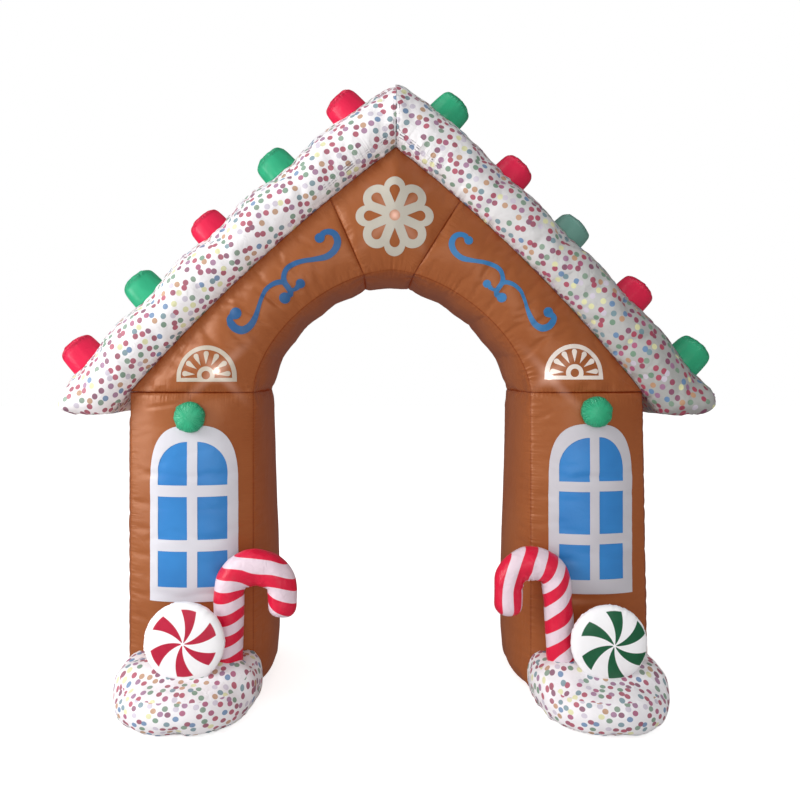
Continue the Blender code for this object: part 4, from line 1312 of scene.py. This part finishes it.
# Satin nylon with printed bands: the edge of each band is crisp, and white and red share one soft highlight.
nylonBands, tree, shader, place, red = newCloth(
    "satinNylonCandyBands", cane, "#e80f40", "#cb0834", 0.36, sheen=0.03, sheenTint="#fff0f2"
)
bands = addNode(tree, "Attribute", out="Fac", attribute_name="bandCount")
part = addNode(tree, "Math", (bands, 0.5), operation="MULTIPLY")
part = addNode(tree, "Math", (part,), operation="FRACT")
part = addNode(tree, "Math", (part, 0.25), operation="SUBTRACT")
part = addNode(tree, "Math", (part,), operation="ABSOLUTE")
white = addNode(tree, "MapRange", (part, 0.24, 0.26, 1.0, 0.0))
colour = addNode(tree, "Mix", {0: white, 6: red, 7: "#e4cfda"}, 2, data_type="RGBA")
tree.links.new(colour, shader.inputs["Base Color"])
addCrinkle(tree, shader, place, cane)


def modelCane(side, start, centre):
    # A ring extruded up the stem, spun over the hook, let down and drawn in to a round end.
    sizes = cane[side]
    radius = cane["radius"][side]
    piece = addRing(f"caneCloth_{side}", 28, radius, "NGON", start)
    bpy.ops.object.transform_apply(location=True, rotation=False, scale=False)
    openPiece(piece)
    bpy.ops.mesh.select_mode(type="EDGE")
    steps = cane["stemSteps"]
    stem = ((sizes["top"] - sizes["foot"]) / steps, 0, (sizes["turnHeight"] - cane["footHeight"]) / steps)
    for _ in range(steps):
        extrudeRow(stem)
    bpy.ops.mesh.spin(steps=20, angle=math.pi, center=centre, axis=(0, sideSign[side], 0))
    for _ in range(cane["dropSteps"]):
        extrudeRow((0, 0, -sizes["drop"] / cane["dropSteps"]))
    endX = 2 * sizes["hook"] - sizes["top"] + archPlace[0]
    height = sizes["turnHeight"] - sizes["drop"]
    power, length = cane["roundness"], cane["endLength"]
    last = 0.0
    for share in cane["rounding"]:
        scale = ((1 - share**power) / (1 - last**power)) ** (1 / power)
        about = (endX, centre[1], height - share * radius * length)
        extrudeRow((0, 0, -((share - last) * radius * length)), scale, about)
        last = share
    extrudeRow((0, 0, -0.025 * radius))
    bpy.ops.mesh.merge(type="CENTER")
    closePiece()
    subdivideOnce(piece)
    return piece


def wallArc(x, y, z, radius, turns):
    return np.stack((x + radius * np.cos(turns), np.full(len(turns), y), z + radius * np.sin(turns)), axis=1)


for side in sides:
    sizes = cane[side]
    radius = cane["radius"][side]
    y = cane["y"] + archPlace[1]
    centre = (sizes["hook"] + archPlace[0], y, sizes["turnHeight"])
    piece = modelCane(side, (sizes["foot"] + archPlace[0], y, cane["footHeight"]), centre)
    points = readPoints(piece.data)
    writeField(piece.data, "bandCount", bandCount(side, points[:, 0] - archPlace[0], points[:, 2]))
    # The inner edge of the hook hangs flatter than the outer one and is gathered, as in any sewn tube.
    fromHook = points[:, [0, 2]] - (centre[0], centre[2])
    away = np.linalg.norm(fromHook, axis=1)
    turnRadius = abs(sizes["hook"] - sizes["top"])
    inward = np.clip((turnRadius - away) / radius, 0, 1)
    points[:, 2] -= cane["slump"][side] * inward * np.clip(fromHook[:, 1] / away, 0, 1) ** 1.5
    writePoints(piece.data, points)
    inner = wallArc(*centre, turnRadius - radius, np.linspace(-0.35, math.pi + 0.35, 60))
    addPuckers(piece, inner, cane["folds"], cane["seed"] + sideSign[side])
    finishPiece(piece, nylonBands, "cane_red", f"cane_{side}")
print(f"canes made, {time.time() - startTime:.0f} s")


# ---- mints

mint = {
    "left": {"middle": -0.967, "height": 0.372, "radius": 0.189, "hub": (0.003, 0.006), "reach": 0.835},
    "right": {"middle": 1.024, "height": 0.368, "radius": 0.178, "hub": (0.013, 0.002), "reach": 0.89},
    "bunch": {"left": 7, "right": 3},  # how unevenly the blades stand, in degrees
    "bend": 29,
    "turn": (70, 15),  # where the first blade stands, and where the blades are closest together
    "blade": (0.222, 0.235),
    "bare": (0.035, 0.055),  # the white middle
    "colour": {"left": "red", "right": "green"},
    "inks": {"left": ("#c91b41", "#b20f34"), "right": ("#176640", "#0f5535")},
    "y": -0.615,
    "half": 0.046,
    # how far out from the middle of the cushion, and share of the radius
    "rows": (
        ((1.0, 0.06), (0.995, 0.14), (0.987, 0.24), (0.975, 0.34), (0.93, 0.52), (0.86, 0.68), (0.76, 0.81))
        + ((0.62, 0.91), (0.42, 0.975), (0.20, 0.998), (0.0, 1.0))
    ),
    "cloud": (30.0, 3.0),
    "crinkle": (22.0, 3.0, 0.8, 0.005, 0.35),
    "folds": {"reach": 0.011, "pitch": 0.014, "depth": 0.0035, "slack": 0.002, "slackPitch": 0.08},
    "seed": 71,
}


def mintCloth(side):
    # White satin nylon with six printed blades, not quite even, that bend as they run out nearly to the rim.
    facts = mint[side]
    name = f"satinNylonMint_{mint['colour'][side]}"
    material, tree, shader, place, ink = newCloth(name, mint, *mint["inks"][side], 0.4, sheen=0.06, ior=1.48)
    hub = (facts["middle"] + facts["hub"][0] + archPlace[0], 0, facts["height"] + facts["hub"][1])
    flat = addNode(tree, "VectorMath", (place, hub), operation="SUBTRACT")
    flat = addNode(tree, "VectorMath", (flat, (1, 0, 1)), operation="MULTIPLY")
    away = addNode(tree, "VectorMath", (flat,), "Value", operation="LENGTH")
    share = addNode(tree, "Math", (away, facts["radius"]), operation="DIVIDE")
    split = addNode(tree, "SeparateXYZ", (flat,)).node.outputs
    angle = addNode(tree, "Math", (split["Z"], split["X"]), operation="ARCTAN2")
    wave = addNode(tree, "Math", (angle, math.radians(mint["turn"][1])), operation="SUBTRACT")
    wave = addNode(tree, "Math", (wave,), operation="SINE")
    bunch = math.radians(mint["bunch"][side])
    angle = addNode(tree, "Math", (wave, bunch, angle), operation="MULTIPLY_ADD")
    angle = addNode(tree, "Math", (angle, bunch), operation="ADD")
    angle = addNode(tree, "Math", (share, -math.radians(mint["bend"]), angle), operation="MULTIPLY_ADD")
    start = 20.5 - math.radians(mint["turn"][0]) * 3 / math.pi
    part = addNode(tree, "Math", (angle, 3 / math.pi, start), operation="MULTIPLY_ADD")
    part = addNode(tree, "Math", (part,), operation="FRACT")
    part = addNode(tree, "Math", (part, 0.5), operation="SUBTRACT")
    part = addNode(tree, "Math", (part,), operation="ABSOLUTE")
    shown = addNode(tree, "MapRange", (part, *mint["blade"], 1.0, 0.0))
    outer = addNode(tree, "MapRange", (share, facts["reach"] - 0.015, facts["reach"], 1.0, 0.0))
    inner = addNode(tree, "MapRange", (share, *mint["bare"], 0.0, 1.0))
    for edge in (outer, inner):
        shown = addNode(tree, "Math", (shown, edge), operation="MULTIPLY")
    colour = addNode(tree, "Mix", {0: shown, 6: "#f7f6f8", 7: ink}, 2, data_type="RGBA")
    tree.links.new(colour, shader.inputs["Base Color"])
    addCrinkle(tree, shader, place, mint)
    return material


for side in sides:
    facts = mint[side]
    rows = mint["rows"] + tuple((-out, radius) for out, radius in reversed(mint["rows"][:-1]))
    piece = addRing(f"mintCloth_{side}", 72, facts["radius"] * rows[0][1])
    openPiece(piece)
    for (lastOut, lastRadius), (out, radius) in zip(rows, rows[1:]):
        rise = (out - lastOut) * mint["half"]
        extrudeRow((0, 0, rise), radius / lastRadius, (0, 0, (out - 1) * mint["half"]))
    bpy.ops.mesh.select_all(action="SELECT")
    bpy.ops.mesh.fill_holes(sides=0)
    closePiece()
    subdivideOnce(piece)
    # Stood on its edge: the disc's axis runs from front to back.
    centre = Vector((facts["middle"] + archPlace[0], mint["y"] + archPlace[1], facts["height"]))
    upright = Matrix.Rotation(math.radians(90), 4, "X")
    piece.data.transform(Matrix.Translation(centre) @ upright @ Matrix.Translation((0, 0, mint["half"])))
    rim = wallArc(*centre, facts["radius"], np.linspace(0, 2 * math.pi, 240))
    addPuckers(piece, rim, mint["folds"], mint["seed"] + sideSign[side])
    cutBy(piece, bpy.data.objects[f"moundCloth_{side}"])
    finishPiece(piece, mintCloth(side), f"candy_{mint['colour'][side]}", f"mint_{side}")
print(f"mints made, {time.time() - startTime:.0f} s")


# ---- appliques: thin cloth shapes sewn onto the walls

sheet = {
    "y": -0.7,  # where the plate is cut, in front of the wall
    "depth": 0.1,
    "margin": 0.004,
    "thickness": 0.0012,
    "cloud": (5.0, 2.0),
    "crinkle": (16.0, 4.0, 0.8, 0.005, 0.35),
}


def satin(name, lit, shaded, roughness=0.42, glow=0.0):
    # Satin nylon cut to shape: the same soft highlight as the walls, with faint creases and a paler lit side.
    material, tree, shader, place, dye = newCloth(name, sheet, lit, shaded, roughness, sheen=0.06, ior=1.48)
    tree.links.new(dye, shader.inputs["Base Color"])
    addCrinkle(tree, shader, place, sheet)
    # Painted glow of the lamps behind, used on the fans.
    if glow:
        addGlow(tree, shader, place, glow)
    return material


def arc(x, z, radius, start, sweep, steps, rise=None):
    # Points round an arc in the plane of the wall.
    turns = [start + sweep * step / steps for step in range(steps + 1)]
    rise = radius if rise is None else rise
    return [(x + radius * math.cos(turn), z + rise * math.sin(turn)) for turn in turns]


def turnedTo(x, z, angle, spots):
    # Spots round a centre, turned by an angle and moved to where the centre goes.
    cos, sin = math.cos(math.radians(angle)), math.sin(math.radians(angle))
    return [(x + a * cos - b * sin, z + a * sin + b * cos) for a, b in spots]


def plateLoop(middle, low, halfWidth, archStart, top, bend=0.92, steps=56):
    loop = [(middle - halfWidth, low), (middle + halfWidth, low)]
    for step in range(steps + 1):
        turn = math.pi * step / steps
        over = math.copysign(abs(math.cos(turn)) ** bend, math.cos(turn))
        loop.append((middle + halfWidth * over, archStart + (top - archStart) * math.sin(turn) ** bend))
    return loop


def ringLoop(x, z, radius):
    return arc(x, z, radius, 0, 2 * math.pi, 40)[:-1]


def dropLoop(x, z, angle, near, far, half):
    # A drop with its point towards the middle and a round outer end.
    lean = math.asin(half / (far - half - near))
    end = arc(far - half, 0, half, -(math.pi / 2 + lean), math.pi + 2 * lean, 18)
    return turnedTo(x, z, angle, [(near, 0.0)] + end)


def prism(loop, near=-1.2, far=-0.2):
    # An outline filled and extruded from front to back, to cut cloth with.
    cutter = addRing("cutter", len(loop), 1, "NGON")
    writePoints(cutter.data, np.array([(x + archPlace[0], near + archPlace[1], z) for x, z in loop]))
    openPiece(cutter)
    extrudeRow((0, far - near, 0))
    closePiece()
    return cutter


def useUp(piece, tool, operation="DIFFERENCE"):
    # Cuts or joins with a tool that is then thrown away.
    cutBy(piece, tool, operation)
    bpy.data.objects.remove(tool, do_unlink=True)


def layOn(mesh, carrier, lift):
    # Each point pushed straight back to the carrier, the plate's own thickness kept.
    ground = groundOf(carrier)
    points = readPoints(mesh)
    front = points[:, 1] < sheet["y"] + sheet["depth"] / 2
    for index, point in enumerate(points):
        hit = ground.ray_cast(Vector((point[0], -2.0, point[2])), Vector((0, 1, 0)))
        if hit[0] is not None:
            away = lift + (sheet["thickness"] if front[index] else 0.0)
            points[index, 1] = hit[0].y - away / max(0.35, abs(hit[1].y))
    writePoints(mesh, points)


def sewOn(name, node, slotName, material, carrier, outlines, holes=(), cell=0.011, lift=0.0008, flat=None):
    # A fine plate cut to the outline, then laid onto the inflated wall and held just off it.
    every = np.array([spot for loop in outlines for spot in loop])
    low, high = every.min(axis=0) - sheet["margin"], every.max(axis=0) + sheet["margin"]
    across, up = (max(2, int(math.ceil(size / cell))) for size in high - low)
    plate = addGridBox(name, (across, 1, up))
    box = readPoints(plate.data)
    x = low[0] + (high[0] - low[0]) * box[:, 0] + archPlace[0]
    z = low[1] + (high[1] - low[1]) * box[:, 2]
    writePoints(plate.data, np.stack((x, sheet["y"] + sheet["depth"] * box[:, 1], z), axis=1))
    cutter = prism(outlines[0])
    for loop in outlines[1:]:
        useUp(cutter, prism(loop, -1.19, -0.21), "UNION")
    useUp(plate, cutter, "INTERSECT")
    if holes:
        tools = [prism(loop, -1.21, -0.19) for loop in holes]
        makeActive(tools[0])
        for tool in tools:
            tool.select_set(True)
        if len(tools) > 1:
            bpy.ops.object.join()
        useUp(plate, tools[0])
    layOn(plate.data, carrier, lift)
    openPiece(plate)
    bpy.ops.mesh.remove_doubles(threshold=0.00005)
    closePiece()
    finishPiece(plate, material, slotName, node, padded=False)
    if flat is None:
        flat = tuple(float(size) for size in high - low - 2 * sheet["margin"])


windowLook = {
    # the pane rows are shares of the height above the sill, low and high
    "left": {
        "middle": -0.969,
        "reach": 0.2155,
        "sill": 0.511,
        "scale": 1.0,
        "bar": (-0.9687, 0.025),  # middle and half width of the upright bar
        "paneEdges": (-1.142, -0.8025),
        "paneRows": ((0.071, 0.247), (0.303, 0.515), (0.571, 0.785)),
        "paneRise": 0.0,  # how far the panes climb to the right
        "cloth": satin("satinNylonWindowLeft", "#d9d8df", "#c9c7cf", 0.4),
    },
    "right": {
        "middle": 0.997,
        "reach": 0.2075,
        "sill": 0.547,
        "scale": 0.966,
        "bar": (1.0058, 0.023),
        "paneEdges": (0.837, 1.152),
        "paneRows": ((0.073, 0.252), (0.305, 0.521), (0.572, 0.797)),
        "paneRise": 0.022,
        "cloth": satin("satinNylonWindowRight", "#cdcad0", "#bdb9c0", 0.4),
    },
    "height": 0.865,
    "archStart": 0.534,
    "archBend": 0.667,
    "paneArchStart": 0.640,
    "lap": 0.020,  # how far the blue cloth runs under the frame
    "frameLift": 0.0026,
}
windowBlue = satin("satinNylonWindowBlue", "#348bd2", "#246fb4", 0.38)


def paneLoops(window):
    loops = []
    bar, half = window["bar"]
    for hand, far in zip((-1, 1), window["paneEdges"]):
        near = bar + hand * half
        rise = window["paneRise"] * (far - bar) / 2
        sill, scale = window["sill"], window["scale"]
        rows = [[sill + edge * scale + rise for edge in row] for row in window["paneRows"]]
        for low, high in rows[:2]:
            loops.append([(near, low), (far, low), (far, high), (near, high)])
        low, top = rows[2]
        start = sill + windowLook["paneArchStart"] * scale
        arch = arc(near, start, far - near, 0, math.pi / 2, 16, top - start)
        loops.append([(near, low), (far, low)] + arch)
    return loops


for side in sides:
    window = windowLook[side]
    sill, scale, lap = window["sill"], window["scale"], windowLook["lap"]
    archStart, height, paneArch = (
        sill + windowLook[key] * scale for key in ("archStart", "height", "paneArchStart")
    )
    outline = plateLoop(window["middle"], sill, window["reach"], archStart, height, windowLook["archBend"])
    rows = window["paneRows"]
    left, right = window["paneEdges"]
    low, top = sill + rows[0][0] * scale - lap, sill + rows[2][1] * scale + lap
    glass = plateLoop((left + right) / 2, low, (right - left) / 2 + lap, paneArch, top)
    carrier = f"legCloth_{side}"
    sewOn(f"windowPanes_{side}", f"window_glass_{side}", "window_blue", windowBlue, carrier, [glass])
    shared = ("window_white", window["cloth"], carrier, [outline], paneLoops(window))
    sewOn(f"windowFrame_{side}", f"window_frame_{side}", *shared, lift=windowLook["frameLift"])
print(f"windows sewn on, {time.time() - startTime:.0f} s")

fanLook = {
    "left": {"middle": -0.907, "base": 1.590, "radius": 0.147},
    "right": {"middle": 0.914, "base": 1.601, "radius": 0.143},
    "cloth": {
        # Both fan cloths carry the painted lamp glow.
        "left": satin("satinNylonFanLeft", "#c6bbab", "#b4a796", 0.42, 2.4),
        "right": satin("satinNylonFanRight", "#ebe0d7", "#ddcfc4", 0.42, 2.4),
    },
    "band": 0.022,
    "centre": 0.033,
    "bar": 0.019,
    "hubHeight": 0.033,
    "hub": 0.043,
    "hubHole": 0.021,
    "petals": (4, 33, 61, 90, 119, 147, 176),
    "petal": (0.053, 0.119, 0.013),  # where each petal starts and ends, and its half width
    "petalFlat": (0.026, 0.066),
    "cell": 0.009,
}


def fanHalf(x, base, radius, floorHeight):
    over = arc(x, base + fanLook["centre"], radius, 0, math.pi, 48)
    return [(x - radius, floorHeight), (x + radius, floorHeight)] + over


for side in sides:
    x, base, radius = (fanLook[side][key] for key in ("middle", "base", "radius"))
    inside = radius - fanLook["band"]
    bar, hub, middle = base + fanLook["bar"], fanLook["hub"], base + fanLook["hubHeight"]
    start = math.pi + math.asin((fanLook["hubHeight"] - fanLook["bar"]) / hub)
    # The open area runs from one end of the bar, over the band and round the hub.
    opening = fanHalf(x, base, inside, bar)[1:] + [(x - inside, bar)]
    opening += arc(x, middle, hub, start, -(2 * start - math.pi), 24)
    whole, holes = fanHalf(x, base, radius, base), [opening, ringLoop(x, middle, fanLook["hubHole"])]
    shared = ("icing_white", fanLook["cloth"][side], f"shoulderCloth_{side}")
    sewOn(f"fanCloth_{side}", f"fan_{side}", *shared, [whole], holes, fanLook["cell"])
    for number, angle in enumerate(fanLook["petals"]):
        tail = f"{side}_{number + 1}"
        petal, flat = dropLoop(x, middle, angle, *fanLook["petal"]), fanLook["petalFlat"]
        sewOn(f"petalCloth_{tail}", f"petal_{tail}", *shared, [petal], cell=fanLook["cell"], flat=flat)
print(f"fans sewn on, {time.time() - startTime:.0f} s")

rosette = {
    "centre": (0.024, 2.408),
    "hole": 0.0268,
    "lobes": ((0.1411, 0.0521, 19.5), (0.1247, 0.0685, 25.5)),  # centre, radius and half angle
    "notch": 0.1552,  # how far out two lobes meet
    "drops": (0.0600, 0.1520, 0.0258),
}
rosetteCloth = satin("satinNylonIcing", "#c4beb1", "#b5aea1", 0.46)
outline = []
for lobe in range(8):
    centre, radius, half = rosette["lobes"][lobe % 2]
    meet, half = rosette["notch"], math.radians(half)
    spread = math.atan2(meet * math.sin(half), meet * math.cos(half) - centre)
    edge = arc(centre, 0, radius, -spread, 2 * spread, 20)[:-1]
    outline += turnedTo(*rosette["centre"], 45 * lobe, edge)
holes = [ringLoop(*rosette["centre"], rosette["hole"])]
holes += [dropLoop(*rosette["centre"], 45 * lobe, *rosette["drops"]) for lobe in range(8)]
sewOn("rosetteCloth", "rosette", "icing_white", rosetteCloth, "keystoneCloth", [outline], holes, cell=0.010)

scroll = {
    "joints": {"left": (-0.526, 2.086, 1.0), "right": (0.561, 2.084, 0.95)},
    "weight": {"left": 1.1, "right": 1.0},
    # centre line across and up, and half width, in millimetres from where the strokes meet
    "long": (
        ((178, 218, 23), (198, 243, 14), (226, 249, 14), (253, 236, 15), (267, 206, 16), (263, 176, 16))
        + ((243, 146, 15), (208, 123, 14), (150, 111, 11), (92, 102, 11), (44, 86, 12), (13, 62, 12))
        + ((0, 28, 12), (4, -4, 13), (22, -30, 13), (33, -58, 13), (4, -80, 25))
    ),
    "low": (
        ((-239, -157, 27), (-268, -186, 18), (-246, -226, 18), (-208, -241, 18), (-176, -227, 16))
        + ((-152, -198, 14), (-134, -156, 11), (-122, -118, 9), (-110, -82, 9), (-92, -44, 10))
        + ((-58, -14, 11), (-20, -1, 12), (4, -4, 12))
    ),
    "short": ((26, -42, 10), (56, -35, 9), (82, -8, 21)),
    "cell": 0.009,
    "length": 1.45,
}
scrollBlue = {
    "left": satin("satinNylonScrollLeft", "#245f97", "#1a4f80", 0.4),
    "right": satin("satinNylonScrollRight", "#357fb8", "#28699e", 0.4),
}


def strokeLoop(stroke, side):
    # The outline of a stroke of changing width, with a ball at both ends.
    jointX, jointZ, size = scroll["joints"][side]
    rows = np.array(stroke, dtype=float) * size / 1000 * (1, 1, scroll["weight"][side])
    spots = np.stack((jointX - sideSign[side] * rows[:, 0], jointZ + rows[:, 1], rows[:, 2]), axis=1)
    middle = smoothLine(spots, 70 if len(spots) > 3 else 24)[0]
    balls = []
    for centre, neighbour in ((spots[0], spots[1]), (spots[-1], spots[-2])):
        towards = math.atan2(neighbour[1] - centre[1], neighbour[0] - centre[0])
        narrower = neighbour[2] < centre[2]
        neck = math.asin(min(0.95, neighbour[2] / centre[2])) if narrower else math.radians(70)
        turns = towards + neck + np.linspace(0, 1, 20) * (2 * math.pi - 2 * neck)
        balls.append(centre[:2] + centre[2] * np.stack((np.cos(turns), np.sin(turns)), axis=1))
    away = np.stack([np.hypot(*(middle[:, :2] - end[:2]).T) for end in (spots[0], spots[-1])], axis=1)
    between = (away > 0.97 * spots[[0, -1], 2]).all(axis=1)
    between[[0, -1]] = False
    inside = np.nonzero(between)[0]
    run = unit(middle[inside + 1, :2] - middle[inside - 1, :2])
    width = middle[inside, 2]
    width = np.where(away[inside].min(axis=1) < 0.05 * size, np.minimum(width, 0.016 * size), width)
    offset = np.stack((-run[:, 1], run[:, 0]), axis=1) * width[:, None]
    line = middle[inside, :2]
    loop = np.vstack((line + offset, balls[1][::-1], (line - offset)[::-1], balls[0][::-1]))
    return [tuple(spot) for spot in loop]


for side in sides:
    strokes = [strokeLoop(scroll[name], side) for name in ("long", "low", "short")]
    flat = (0.030, scroll["length"] * scroll["joints"][side][2])
    shared = (f"scroll_{side}", "scroll_blue", scrollBlue[side], f"shoulderCloth_{side}")
    sewOn(f"scrollCloth_{side}", *shared, strokes, cell=scroll["cell"], flat=flat)
print(f"rosette and scrolls sewn on, {time.time() - startTime:.0f} s")
